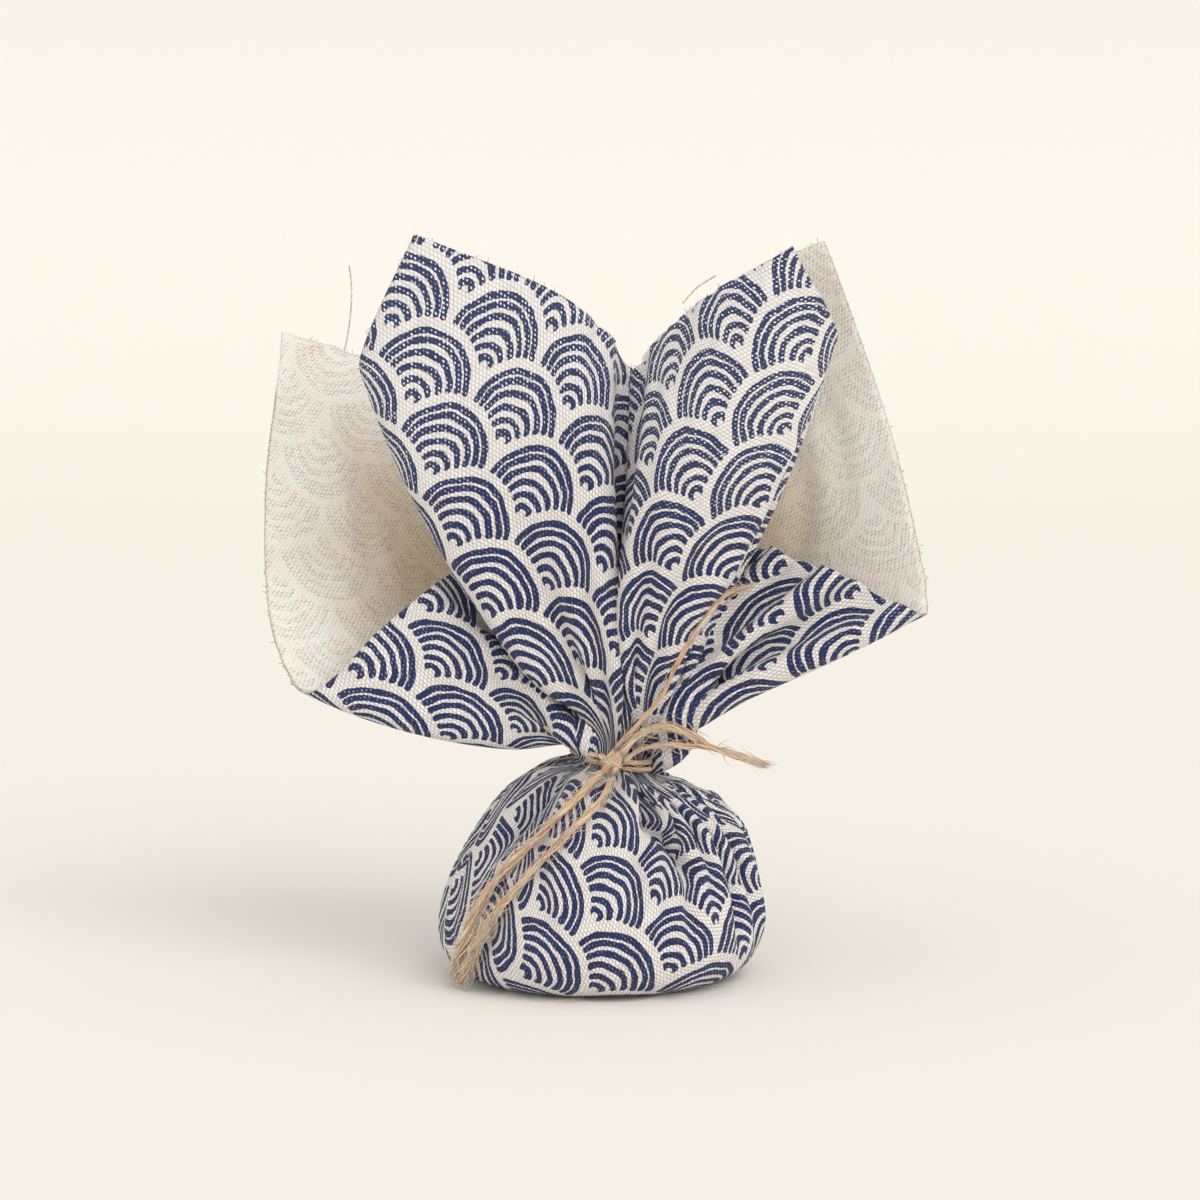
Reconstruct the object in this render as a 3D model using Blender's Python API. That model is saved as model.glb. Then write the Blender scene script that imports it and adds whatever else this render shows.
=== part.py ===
"""A square of printed canvas gathered into a small pouch and tied at the neck with jute twine.

The cloth lies flat under the pouch, rises round it, is pinched into pleats by the twine, and flares out
above the tie with its four corners up. A place on the flat cloth is given by its angle, from the middle
of the front edge (positive towards the right), and by its reach, the distance from the cloth's middle.
Sizes in the tables are millimetres and degrees. X points right, Y away from the front, Z up.
"""

import math
from typing import NamedTuple

import bpy
import numpy as np
from mathutils import Vector

MM = 0.001
UP = np.array([0.0, 0.0, 1.0])

# The cloth
CLOTH_SIDE = 330.0
CLOTH_THICKNESS = 1.0
NECK_REACH = 101.0  # how far from the cloth's middle the twine grips it
NECK_CENTRE = np.array([3.5, 0.0, 54.2])
NECK_TILT = 11.0  # the tie is lower at the right
NECK_RISE = 5.2  # how far the cloth stands upright in the tie before it turns into the flare
NECK_BEND = 2.0  # how round that turn is
SPOKES = 80
FLARE_RINGS = 14
POUCH_TWIST = 42.0  # how far the pouch turns against the flat cloth
PLEAT_FADE = 42.0  # how far above the tie the small neck pleats open out
BOW_START = 26.0  # how far above the tie the flare's bows are fully there

# The twine, doubled, so that a loop hangs from one side of the knot and two ends from the other
TWINE = 1.9  # where both plies lie together
STRAND = 1.4  # where it is one ply
TURN_RADIUS = 10.95
TURN_HEIGHTS = {"twine_turn_lower": 54.8, "twine_turn_upper": 56.6}
TURN_GAP = 15.0  # half the opening that the knot closes, in degrees
KNOT_AT = np.array([3.5, -12.1, 55.9])
KNOT_SIZE = (4.6, 3.4, 5.0)
CORD_STEP = 2.8 * TWINE  # between points where the twine runs straight
CORD_BEND = 32.0  # and no sharper turn than this between them


class Profile(NamedTuple):
    """The pouch's round outline: its radius and height at a reach on the flat cloth."""

    reach: float
    radius: float
    height: float


class Pleat(NamedTuple):
    """A ridge or a valley in the neck: where it lies on the flat cloth, and round the tie."""

    angle: float
    turn: float
    radius: float


class Rib(NamedTuple):
    """A line of the flare from the tie to the cut edge: its end, and the bow of its middle."""

    angle: float
    end: tuple
    bow: tuple


class Crease(NamedTuple):
    """A soft trough pressed into the pouch, running from a top to a foot."""

    top_turn: float
    foot_turn: float
    top_reach: float
    foot_reach: float
    width: float
    depth: float


PROFILE = (
    Profile(0, 0.0, 0.0),
    Profile(14, 14.0, 0.0),
    Profile(26, 26.0, 0.0),
    Profile(28, 28.0, 0.0),
    Profile(33, 32.9, 0.8),
    Profile(38, 37.1, 3.4),
    Profile(43, 39.4, 7.8),
    Profile(49, 40.0, 13.8),
    Profile(56, 38.6, 20.6),
    Profile(66, 35.5, 30.2),
    Profile(76, 31.4, 38.8),
    Profile(84.5, 26.4, 44.9),
    Profile(91, 20.8, 48.6),
    Profile(96, 15.6, 51.0),
    Profile(99, 11.6, 52.4),
    Profile(101, 9.0, 54.2),
)

PLEATS = (
    Pleat(-180, -172, 9.0),
    Pleat(-157, -146, 4.8),
    Pleat(-135, -122, 9.0),
    Pleat(-119, -98, 4.8),
    Pleat(-100, -75, 9.0),
    Pleat(-74, -52, 4.8),
    Pleat(-54, -30, 9.0),
    Pleat(-42, -4, 7.6),
    Pleat(-30, 22, 9.0),
    Pleat(0, 40, 4.6),
    Pleat(31, 58, 9.0),
    Pleat(42, 67, 7.6),
    Pleat(54, 77, 9.0),
    Pleat(76, 90, 4.8),
    Pleat(107, 106, 9.0),
    Pleat(124, 123, 4.8),
    Pleat(140, 140, 9.0),
    Pleat(159, 163, 4.8),
)

RIBS = (
    Rib(-180, (0, 62, 92), (0, 4, -4)),
    Rib(-165, (-11, 62, 99), (0, 4, -4)),
    Rib(-150, (-33, 57, 124), (-4, 4, 0)),
    Rib(-135, (-79, 45, 158), (-10, 6, 0)),
    Rib(-126, (-83, 25, 117), (-4, 6, -6)),
    Rib(-116.5, (-80.5, 6, 84), (-2, 0, -7)),
    Rib(-110.5, (-72, -6, 73.5), (0, -3, -6)),
    Rib(-102, (-54, -6, 89), (0, -2, -3)),
    Rib(-91, (-34, 4, 102), (0, 2, 0)),
    Rib(-83, (-20, 13, 110), (0, 2, 0)),
    Rib(-73, (-12, 16, 120), (0, 2, 0)),
    Rib(-64, (-22, 10, 131), (0, 0, 0)),
    Rib(-54.5, (-56, 6, 149), (-7, -7, -2)),
    Rib(-51.5, (-58.5, 3, 155), (-7, -9, -2)),
    Rib(-45, (-45, 0, 187), (-2, -12, 0)),
    Rib(-36.6, (-6.7, -8, 172), (2, -12, 0)),
    Rib(-30, (7.4, 6, 155), (-1, -5, 0)),
    Rib(-18, (4.5, 21, 131), (0, 0, 0)),
    Rib(-8, (-1, 32, 110), (0, 0, 0)),
    Rib(0, (-4.5, 37, 101), (0, 0, 0)),
    Rib(8, (2.5, 34, 107), (0, 0, 0)),
    Rib(18, (8.8, 23, 129), (0, 0, 0)),
    Rib(31, (11.0, 5, 155), (1, -5, 0)),
    Rib(36, (20, -12, 167), (-2, -12, 0)),
    Rib(45, (46.7, -30, 185), (2, -10, 0)),
    Rib(49.7, (57.8, -18, 166), (5, -8, 0)),
    Rib(54, (55.5, -8, 153.5), (6, -6, 0)),
    Rib(72, (26, 8, 121), (0, 2, 0)),
    Rib(90, (38, 4, 112), (0, 0, 0)),
    Rib(104, (63, -10, 103.5), (0, -2, 0)),
    Rib(113.5, (83, -12, 96), (0, -3, -1)),
    Rib(122, (77, 8, 119), (4, 6, -3)),
    Rib(135, (56, 22, 185), (8, 10, 0)),
    Rib(143, (23, 34, 167), (0, 8, 0)),
    Rib(152, (9, 46, 141), (0, 6, 0)),
    Rib(166, (4, 58, 109), (0, 4, -3)),
)

CREASES = (
    Crease(36, 24, 98, 58, 3.2, 5.0),
    Crease(62, 74, 98, 50, 3.2, 4.0),
    Crease(14, 16, 72, 52, 2.6, 1.8),
    Crease(-40, -60, 97, 64, 3.2, 4.5),
    Crease(-50, -46, 56, 34, 2.4, 2.0),
    Crease(-118, -124, 97, 54, 3.6, 3.6),
    Crease(-152, -160, 97, 46, 4.0, 4.0),
    Crease(170, 164, 97, 54, 3.6, 4.0),
    Crease(124, 118, 97, 48, 4.0, 3.6),
)


# x, y and z of hand-placed points along each piece of twine, from the knot outwards
TWINE_ROUTES = {
    "twine_loop": (
        (1.4, -14.6, 53.4),
        (0.0, -16.2, 53.0),
        (-1.7, -19.6, 51.8),
        (-4.2, -23.3, 49.7),
        (-7.1, -25.7, 47.3),
        (-10.6, -27.4, 44.2),
        (-14.0, -28.2, 40.8),
        (-17.5, -28.2, 37.3),
        (-20.7, -28.0, 34.0),
        (-23.9, -27.5, 30.4),
        (-26.6, -27.0, 26.8),
        (-28.9, -26.7, 23.0),
        (-30.6, -25.7, 19.0),
        (-32.1, -25.4, 15.2),
        (-33.7, -24.0, 10.8),
        (-34.9, -21.6, 6.8),
        (-35.3, -18.8, 4.2),
        (-34.8, -18.4, 2.5),
        (-34.1, -19.8, 2.2),
        (-33.3, -22.4, 3.9),
        (-32.3, -24.6, 6.4),
        (-30.8, -26.5, 10.0),
        (-29.1, -29.3, 14.2),
        (-27.3, -30.5, 17.9),
        (-25.1, -31.2, 21.6),
        (-22.6, -31.7, 24.7),
        (-19.9, -32.2, 27.8),
        (-17.2, -32.3, 31.1),
        (-14.0, -32.3, 34.6),
        (-10.5, -31.8, 38.0),
        (-6.6, -30.8, 41.8),
        (-2.9, -28.6, 45.1),
        (0.3, -25.4, 48.0),
        (2.5, -21.2, 50.5),
        (4.0, -16.0, 52.4),
    ),
    "twine_tail_up": (
        (5.0, -11.4, 59.4),
        (6.0, -11.4, 60.9),
        (7.4, -11.6, 62.5),
        (8.9, -11.8, 64.0),
        (10.6, -12.0, 66.1),
        (12.1, -12.3, 67.9),
        (13.6, -12.5, 69.4),
        (16.6, -12.6, 73.8),
        (18.1, -12.7, 77.0),
        (19.6, -12.8, 80.4),
        (21.3, -12.8, 83.6),
        (23.4, -13.2, 86.9),
        (25.3, -13.5, 89.9),
        (27.2, -13.5, 92.7),
        (28.7, -13.2, 94.9),
        (30.7, -11.9, 96.8),
        (32.5, -9.8, 98.0),
        (34.5, -8.2, 98.5),
        (36.8, -7.0, 99.0),
        (39.0, -6.0, 99.2),
    ),
    "twine_tail_right": (
        (6.2, -13.5, 58.5),
        (7.2, -13.4, 59.7),
        (8.4, -13.2, 61.2),
        (9.9, -12.9, 62.4),
        (11.6, -12.5, 63.6),
        (13.6, -11.9, 64.3),
        (15.5, -11.2, 64.6),
        (17.1, -10.4, 64.3),
        (18.9, -9.6, 64.0),
        (20.4, -8.9, 63.4),
        (22.0, -8.2, 62.8),
        (23.6, -7.6, 61.9),
        (25.1, -7.1, 61.0),
        (26.6, -6.8, 59.8),
        (28.5, -6.6, 58.8),
        (32.6, -6.3, 57.5),
        (36.5, -6.1, 56.2),
        (39.8, -6.0, 55.1),
        (43.0, -6.0, 54.0),
    ),
    "twine_ply_right": (
        (6.7, -12.8, 56.1),
        (7.7, -12.5, 57.1),
        (8.7, -12.1, 57.8),
        (9.7, -11.8, 58.4),
        (10.9, -11.4, 58.9),
        (12.2, -10.9, 59.3),
        (13.1, -10.5, 59.5),
        (14.4, -10.1, 59.7),
        (15.6, -9.7, 59.8),
        (16.9, -9.4, 59.9),
        (18.4, -9.1, 59.9),
        (19.6, -8.9, 59.8),
        (20.9, -8.7, 59.6),
        (22.6, -8.5, 59.2),
        (24.3, -8.3, 58.8),
    ),
}
TWINE_THICKNESS = {
    "twine_loop": TWINE,
    "twine_tail_up": STRAND,
    "twine_tail_right": TWINE,
    "twine_ply_right": STRAND,
}


def smooth(x):
    """0 below 0, 1 above 1, and an even S between."""
    x = np.clip(x, 0.0, 1.0)
    return x * x * (3 - 2 * x)


def curve_through(at, values, x, period=None):
    """A smooth curve through the values, closed on itself where it has a period."""
    at, values = np.asarray(at, float), np.asarray(values, float)
    if period:
        at = np.concatenate([at[-2:] - period, at, at[:2] + period])
        values = np.concatenate([values[-2:], values, values[:2]])
    slope = np.gradient(values, at, axis=0, edge_order=1)
    i = np.clip(np.searchsorted(at, x, side="right") - 1, 0, len(at) - 2)
    step = at[i + 1] - at[i]
    f = (x - at[i]) / step
    if values.ndim > 1:
        step, f = step[..., None], f[..., None]
    return (
        (1 + 2 * f) * (1 - f) ** 2 * values[i]
        + f * (1 - f) ** 2 * step * slope[i]
        + f * f * (3 - 2 * f) * values[i + 1]
        - f * f * (1 - f) * step * slope[i + 1]
    )


def edge_reach(angle):
    """How far the cut edge of the square is from its middle."""
    turn = np.radians(angle)
    return 0.5 * CLOTH_SIDE / np.maximum(abs(np.cos(turn)), abs(np.sin(turn)))


def round_axis(turn, tilt=0.0):
    """The direction at a turn from the front, level or in a plane tilted down to the right."""
    turn, tilt = np.radians(turn), np.radians(tilt)
    across = np.sin(turn)
    return np.stack([across * np.cos(tilt), -np.cos(turn), -across * np.sin(tilt)], axis=-1)


def neck_pleats(angle):
    """The turn and the radius of the cloth inside the tie."""
    at = [pleat.angle for pleat in PLEATS]
    twist = curve_through(at, [pleat.turn - pleat.angle for pleat in PLEATS], angle, 360)
    return angle + twist, curve_through(at, [pleat.radius for pleat in PLEATS], angle, 360)


def crease_depth(turn, reach):
    """How far the pouch is pressed in at a turn and a reach."""
    pressed = np.zeros_like(turn)
    for crease in CREASES:
        along = (crease.top_reach - reach) / (crease.top_reach - crease.foot_reach)
        middle = crease.top_turn + np.clip(along, 0, 1) * (crease.foot_turn - crease.top_turn)
        radius = curve_through([row.reach for row in PROFILE], [row.radius for row in PROFILE], reach)
        aside = np.radians((turn - middle + 180) % 360 - 180) * radius / crease.width
        ends = smooth(along * 3.0) * smooth((1.0 - along) * 2.5)
        pressed = pressed + crease.depth * np.exp(-aside * aside) * ends
    return pressed


def pouch_point(angle, reach):
    """A point of the pouch, from the flat base to the tie."""
    at = [row.reach for row in PROFILE]
    radius = curve_through(at, [row.radius for row in PROFILE], reach)
    height = curve_through(at, [row.height for row in PROFILE], reach)
    turn, neck_radius = neck_pleats(angle)
    gathered = smooth((reach - 40) / (NECK_REACH - 40))
    turn = gathered * turn + (1 - gathered) * (angle + POUCH_TWIST)
    pleat = (PROFILE[-1].radius - neck_radius) * smooth((reach - 66) / (NECK_REACH - 66))
    radius = radius - pleat - crease_depth(turn, reach)
    centre = NECK_CENTRE * [1, 1, 0] * smooth(height / NECK_CENTRE[2])[..., None]
    height = height + 0.5 * CLOTH_THICKNESS * (1 - gathered)
    tilt = NECK_TILT * smooth((reach - 70) / (NECK_REACH - 70))
    return centre + radius[..., None] * round_axis(turn, tilt) + height[..., None] * UP


def upright_share(out):
    """How much of a way out from the tie is spent going straight up."""
    past = out - NECK_RISE
    return out - 0.5 * (past + np.hypot(past, NECK_BEND)) + 0.5 * (np.hypot(NECK_RISE, NECK_BEND) - NECK_RISE)


def flare_point(angle, reach):
    """A point of the flare, from the tie to the cut edge."""
    turn, neck_radius = neck_pleats(angle)
    at = np.array([rib.angle for rib in RIBS])
    lengths = edge_reach(at) - NECK_REACH
    upright = upright_share(lengths)
    run = np.array([rib.end for rib in RIBS]) - NECK_CENTRE - upright[:, None] * UP
    heading = curve_through(at, run / (lengths - upright)[:, None], angle, 360)
    bow = curve_through(at, [rib.bow for rib in RIBS], angle, 360)
    out = reach - NECK_REACH
    upright = upright_share(out)
    share = out / (edge_reach(angle) - NECK_REACH)
    held = neck_radius * (1 - smooth(out / PLEAT_FADE))
    return (
        NECK_CENTRE
        + held[..., None] * round_axis(turn, NECK_TILT)
        + heading * (out - upright)[..., None]
        + upright[..., None] * UP
        + bow * (4 * share * (1 - share) * smooth(out / BOW_START))[..., None]
    )


def cloth_point(angle, reach):
    """Where a place on the flat cloth lies, in millimetres."""
    below = pouch_point(angle, np.minimum(reach, NECK_REACH))
    above = flare_point(angle, np.maximum(reach, NECK_REACH))
    return np.where((reach < NECK_REACH)[..., None], below, above)


def cloth_rings(angle):
    """The reaches of the rings of points, from the middle to the cut edge at an angle."""
    pouch = [14, 24, 28, 32, 37, 43, 49, 56, 63, 70, 77, 83, 88, 93, 97.5, NECK_REACH]
    spread = np.linspace(0, 1, FLARE_RINGS + 1)[1:] ** 1.3
    return pouch + [NECK_REACH + f * (edge_reach(angle) - NECK_REACH) for f in spread]


def finish(obj, name, colour, roughness):
    """Names the object and gives it a plain material."""
    obj.name = obj.data.name = name
    material = bpy.data.materials.new(name)
    material.use_nodes = True
    shader = material.node_tree.nodes["Principled BSDF"]
    shader.inputs["Base Color"].default_value = (*colour, 1)
    shader.inputs["Roughness"].default_value = roughness
    shader.inputs["Metallic"].default_value = 0
    obj.data.materials.append(material)
    return obj


def make_cloth():
    """The gathered cloth as one sheet of its true thickness."""
    angles = np.arange(SPOKES) * 360 / SPOKES - 180
    reaches = np.array([cloth_rings(angle) for angle in angles]).T
    points = cloth_point(np.broadcast_to(angles, reaches.shape), reaches)
    verts = [(0, 0, 0.5 * CLOTH_THICKNESS)] + [tuple(p) for ring in points for p in ring]
    faces = [(0, 1 + i, 1 + (i + 1) % SPOKES) for i in range(SPOKES)]
    for ring in range(len(reaches) - 1):
        start = 1 + ring * SPOKES
        for i in range(SPOKES):
            j = (i + 1) % SPOKES
            faces.append((start + i, start + SPOKES + i, start + SPOKES + j, start + j))
    mesh = bpy.data.meshes.new("cloth")
    mesh.from_pydata([Vector(v) * MM for v in verts], [], faces)
    mesh.shade_smooth()
    cloth = bpy.data.objects.new("cloth", mesh)
    bpy.context.collection.objects.link(cloth)
    sheet = cloth.modifiers.new("thickness", "SOLIDIFY")
    sheet.thickness = CLOTH_THICKNESS * MM
    sheet.offset = 0
    return finish(cloth, "cloth", (0.30, 0.33, 0.42), 0.9)


def cord_points(route, thickness):
    """Points for a cord along a smooth curve through the route: close together only where it bends."""
    route = np.array(route)
    along = np.concatenate([[0], np.cumsum(np.linalg.norm(np.diff(route, axis=0), axis=1))])
    fine = curve_through(along, route, np.arange(0, along[-1], 0.1 * thickness))
    heading = np.diff(fine, axis=0)
    heading /= np.linalg.norm(heading, axis=1)[:, None]
    points, since = [fine[0]], 0
    for i in range(1, len(heading)):
        run = np.linalg.norm(fine[i] - points[-1])
        bent = math.degrees(math.acos(min(1.0, float(heading[i] @ heading[since]))))
        if run >= CORD_STEP or bent >= CORD_BEND:
            points.append(fine[i])
            since = i
    if np.linalg.norm(route[-1] - points[-1]) < thickness:
        points.pop()
    return points + [route[-1]]


def make_cord(name, points, thickness):
    """A round cord with closed ends along points in millimetres."""
    curve = bpy.data.curves.new(name, "CURVE")
    curve.dimensions = "3D"
    curve.bevel_depth = 0.5 * thickness * MM
    curve.bevel_resolution = 2
    curve.use_fill_caps = True
    spline = curve.splines.new("POLY")
    spline.points.add(len(points) - 1)
    for slot, point in zip(spline.points, points):
        slot.co = (*(point * MM), 1)
    cord = bpy.data.objects.new(name, curve)
    bpy.context.collection.objects.link(cord)
    return finish(cord, name, (0.62, 0.45, 0.27), 0.95)


def make_turn(name, height):
    """One turn of twine round the neck, open where the knot sits."""
    ends = np.radians([TURN_GAP, 360 - TURN_GAP])
    centre = np.array([NECK_CENTRE[0], NECK_CENTRE[1], height])
    steps = round((ends[1] - ends[0]) * TURN_RADIUS / CORD_STEP)
    turns = np.degrees(np.linspace(*ends, steps + 1))
    points = centre + TURN_RADIUS * round_axis(turns, NECK_TILT)
    return make_cord(name, points, STRAND)


def make_knot():
    """The small hard lump that closes the tie."""
    bpy.ops.mesh.primitive_uv_sphere_add(segments=16, ring_count=10, radius=0.5, location=KNOT_AT * MM)
    knot = bpy.context.object
    knot.scale = [size * MM for size in KNOT_SIZE]
    bpy.ops.object.transform_apply(location=False, rotation=False, scale=True)
    return finish(knot, "twine_knot", (0.62, 0.45, 0.27), 0.95)


def main():
    """Clears the scene and makes the pieces."""
    for obj in list(bpy.data.objects):
        bpy.data.objects.remove(obj, do_unlink=True)
    make_cloth()
    for name, height in TURN_HEIGHTS.items():
        make_turn(name, height)
    make_knot()
    for name, route in TWINE_ROUTES.items():
        thickness = TWINE_THICKNESS[name]
        make_cord(name, cord_points(route, thickness), thickness)


main()
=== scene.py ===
"""Looks of a square of wave-printed canvas, gathered into a small pouch and tied with jute twine.

A place on the cloth is given by its flat coordinates, from the middle of the square: across (positive
towards the right) and along (positive towards the front edge). Sizes are millimetres and degrees unless a
docstring says metres. X points right, Y away from the front, Z up.
"""

import logging
import math
from dataclasses import dataclass, field
from enum import Enum
from typing import NamedTuple, Optional, Sequence

import bpy
import numpy as np
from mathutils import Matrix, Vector


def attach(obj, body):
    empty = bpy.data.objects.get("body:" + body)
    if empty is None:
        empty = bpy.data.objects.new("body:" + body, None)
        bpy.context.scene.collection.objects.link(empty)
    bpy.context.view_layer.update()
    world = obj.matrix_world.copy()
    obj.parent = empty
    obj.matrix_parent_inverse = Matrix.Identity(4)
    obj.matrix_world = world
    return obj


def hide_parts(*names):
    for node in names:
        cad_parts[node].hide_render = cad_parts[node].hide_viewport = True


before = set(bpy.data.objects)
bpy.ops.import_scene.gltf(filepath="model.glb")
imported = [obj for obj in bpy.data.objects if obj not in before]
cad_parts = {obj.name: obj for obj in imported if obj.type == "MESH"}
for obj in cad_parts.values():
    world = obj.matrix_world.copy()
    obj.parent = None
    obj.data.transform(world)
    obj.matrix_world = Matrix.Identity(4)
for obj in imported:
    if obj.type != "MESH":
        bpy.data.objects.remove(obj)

MM = 0.001
UP = np.array([0.0, 0.0, 1.0])
FINE = 2000  # points on which a curve is measured
FEWEST = 8  # steps of the shortest curve
LOG = logging.getLogger("handkerchief")

Colour = tuple[float, float, float]

SIDE = 330.0  # the flat square
NECK = (3.5, 0.0, 54.2)  # the middle of the tie
NECK_TILT = 11.0  # how far the tie leans down to the right
TWINE = 1.9  # thickness where both plies lie together
STRAND = 1.4  # thickness of one ply


# ---------------------------------------------------------------- the drape's named sizes


class Profile(NamedTuple):
    """The pouch's round outline: its radius and height at a reach on the flat cloth."""

    reach: float
    radius: float
    height: float


class Pleat(NamedTuple):
    """A ridge or a valley in the neck: where it lies on the flat cloth, and round the tie."""

    angle: float
    turn: float
    radius: float


class Rib(NamedTuple):
    """A line of the flare from the tie to the cut edge: its end, and the bow of its middle."""

    angle: float
    end: tuple[float, float, float]
    bow: tuple[float, float, float]


class Crease(NamedTuple):
    """A soft trough pressed into the pouch, running from a top to a foot."""

    top_turn: float
    foot_turn: float
    top_reach: float
    foot_reach: float
    width: float
    depth: float


class Nudge(NamedTuple):
    """A soft push on the flare: its middle and its spread round and along the cloth, and how far it goes."""

    angle: float
    spread: float
    reach: float
    length: float
    move: tuple[float, float, float]


class Easing(NamedTuple):
    """How far the print sits from its even spacing round one place of the flat cloth, in millimetres."""

    across: float
    along: float
    right: float
    up: float


class Freedom(NamedTuple):
    """How far the cloth may leave the drape at an angle: in the pouch, in the flare and at the cut edge."""

    angle: float
    pouch: float
    flare: float
    hem: float


PROFILE = (
    Profile(0, 0.0, 0.0),
    Profile(14, 14.0, 0.0),
    Profile(26, 26.0, 0.0),
    Profile(28, 28.0, 0.0),
    Profile(33, 32.9, 0.8),
    Profile(38, 37.1, 3.4),
    Profile(43, 39.4, 7.8),
    Profile(49, 40.0, 13.8),
    Profile(56, 38.6, 20.6),
    Profile(66, 35.5, 30.2),
    Profile(76, 31.4, 38.8),
    Profile(84.5, 26.4, 44.9),
    Profile(91, 20.8, 48.6),
    Profile(96, 15.6, 51.0),
    Profile(99, 11.6, 52.4),
    Profile(101, 9.0, 54.2),
)

PLEATS = (
    Pleat(-180, -172, 9.0),
    Pleat(-157, -146, 4.8),
    Pleat(-135, -122, 9.0),
    Pleat(-119, -98, 4.8),
    Pleat(-100, -75, 9.0),
    Pleat(-74, -52, 4.8),
    Pleat(-54, -30, 9.0),
    Pleat(-42, -4, 7.6),
    Pleat(-30, 22, 9.0),
    Pleat(0, 40, 4.6),
    Pleat(31, 58, 9.0),
    Pleat(42, 67, 7.6),
    Pleat(54, 77, 9.0),
    Pleat(76, 90, 4.8),
    Pleat(107, 106, 9.0),
    Pleat(124, 123, 4.8),
    Pleat(140, 140, 9.0),
    Pleat(159, 163, 4.8),
)

RIBS = (
    Rib(-180, (0, 62, 92), (0, 4, -4)),
    Rib(-165, (-11, 62, 99), (0, 4, -4)),
    Rib(-150, (-33, 57, 124), (-4, 4, 0)),
    Rib(-135, (-79, 45, 158), (-10, 6, 0)),
    Rib(-126, (-83, 25, 117), (-4, 6, -6)),
    Rib(-116.5, (-80.5, 6, 84), (-2, 0, -7)),
    Rib(-110.5, (-72, -6, 73.5), (0, -3, -6)),
    Rib(-102, (-54, -6, 89), (0, -2, -3)),
    Rib(-91, (-34, 4, 102), (0, 2, 0)),
    Rib(-83, (-20, 13, 110), (0, 2, 0)),
    Rib(-73, (-12, 16, 120), (0, 2, 0)),
    Rib(-64, (-22, 10, 131), (0, 0, 0)),
    Rib(-54.5, (-56, 6, 149), (-7, -7, -2)),
    Rib(-51.5, (-58.5, 3, 155), (-7, -9, -2)),
    Rib(-45, (-45, 0, 187), (-2, -12, 0)),
    Rib(-36.6, (-6.7, -8, 172), (2, -12, 0)),
    Rib(-30, (8.0, 1, 155.5), (0, -7, 0)),
    Rib(-18, (4.5, 21, 131), (0, 0, 0)),
    Rib(-8, (-1, 32, 110), (0, 0, 0)),
    Rib(0, (-4.5, 37, 101), (0, 0, 0)),
    Rib(8, (2.5, 34, 107), (0, 0, 0)),
    Rib(18, (8.8, 23, 129), (0, 0, 0)),
    Rib(31, (10.8, -1, 155), (0.5, -7, 0)),
    Rib(36, (20, -12, 167), (-2, -12, 0)),
    Rib(45, (46.7, -30, 185), (2, -10, 0)),
    Rib(49.7, (57.8, -18, 166), (5, -8, 0)),
    Rib(54, (55.5, -8, 153.5), (6, -6, 0)),
    Rib(72, (26, 8, 121), (0, 2, 0)),
    Rib(90, (38, 4, 112), (0, 0, 0)),
    Rib(104, (63, -10, 103.5), (0, -2, 0)),
    Rib(113.5, (83, -12, 96), (0, -3, -1)),
    Rib(122, (77, 8, 119), (4, 6, -3)),
    Rib(135, (56, 22, 185), (8, 10, 0)),
    Rib(143, (23, 34, 167), (0, 8, 0)),
    Rib(152, (9, 46, 141), (0, 6, 0)),
    Rib(166, (4, 58, 109), (0, 4, -3)),
)

CREASES = (
    Crease(31, 21, 98, 76, 2.3, 8.0),
    Crease(17, 43, 86, 63, 2.3, 10.0),
    Crease(62, 74, 98, 50, 3.2, 4.0),
    Crease(60, 63, 68, 46, 2.6, 4.0),
    Crease(15, 14, 74, 56, 2.4, 2.6),
    Crease(-37, -58, 56, 34, 2.8, 2.6),
    Crease(-40, -60, 97, 64, 3.2, 5.5),
    Crease(-102, -80, 96, 64, 3.0, 4.5),
    Crease(-118, -124, 97, 54, 3.6, 3.6),
    Crease(-152, -160, 97, 46, 4.0, 4.0),
    Crease(170, 164, 97, 54, 3.6, 4.0),
    Crease(124, 118, 97, 48, 4.0, 3.6),
)

NUDGES = (
    Nudge(-96, 14, 111, 9, (0.0, -3.0, -2.5)),
    Nudge(-82, 16, 107, 6, (3.0, -4.0, -4.0)),
    Nudge(-126, 10, 120, 16, (0.0, 3.0, 2.0)),
    Nudge(-51, 9, 116, 11, (4.0, 1.0, 0.0)),
    Nudge(-68, 8, 116, 12, (0.0, 5.0, 0.0)),
    Nudge(103, 8, 115, 11, (2.0, -2.0, -4.5)),
    Nudge(99, 10, 108, 6, (1.5, -5.0, -4.5)),
)

EASINGS = (
    Easing(-147, 140, -1.2, -3.0),
    Easing(-112, 137, 4.3, -1.4),
    Easing(-107, 110, 5.2, -3.2),
    Easing(-77, 102, 7.0, -0.5),
    Easing(-150, -35, 1.0, 0.5),
    Easing(116, 118, -4.2, 6.2),
    Easing(131, 135, -2.6, 5.5),
    Easing(150, 142, -0.8, 4.2),
    Easing(92, 102, -3.4, 0.5),
    Easing(155, -40, -9.2, 1.4),
    Easing(-48, 50, -4.8, 7.0),
    Easing(-30, 22, -4.0, 6.3),
    Easing(-12, 42, -5.3, 6.0),
    Easing(5, 53, -9.0, 8.0),
    Easing(-80, 4, -2.8, 3.5),
)

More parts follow.
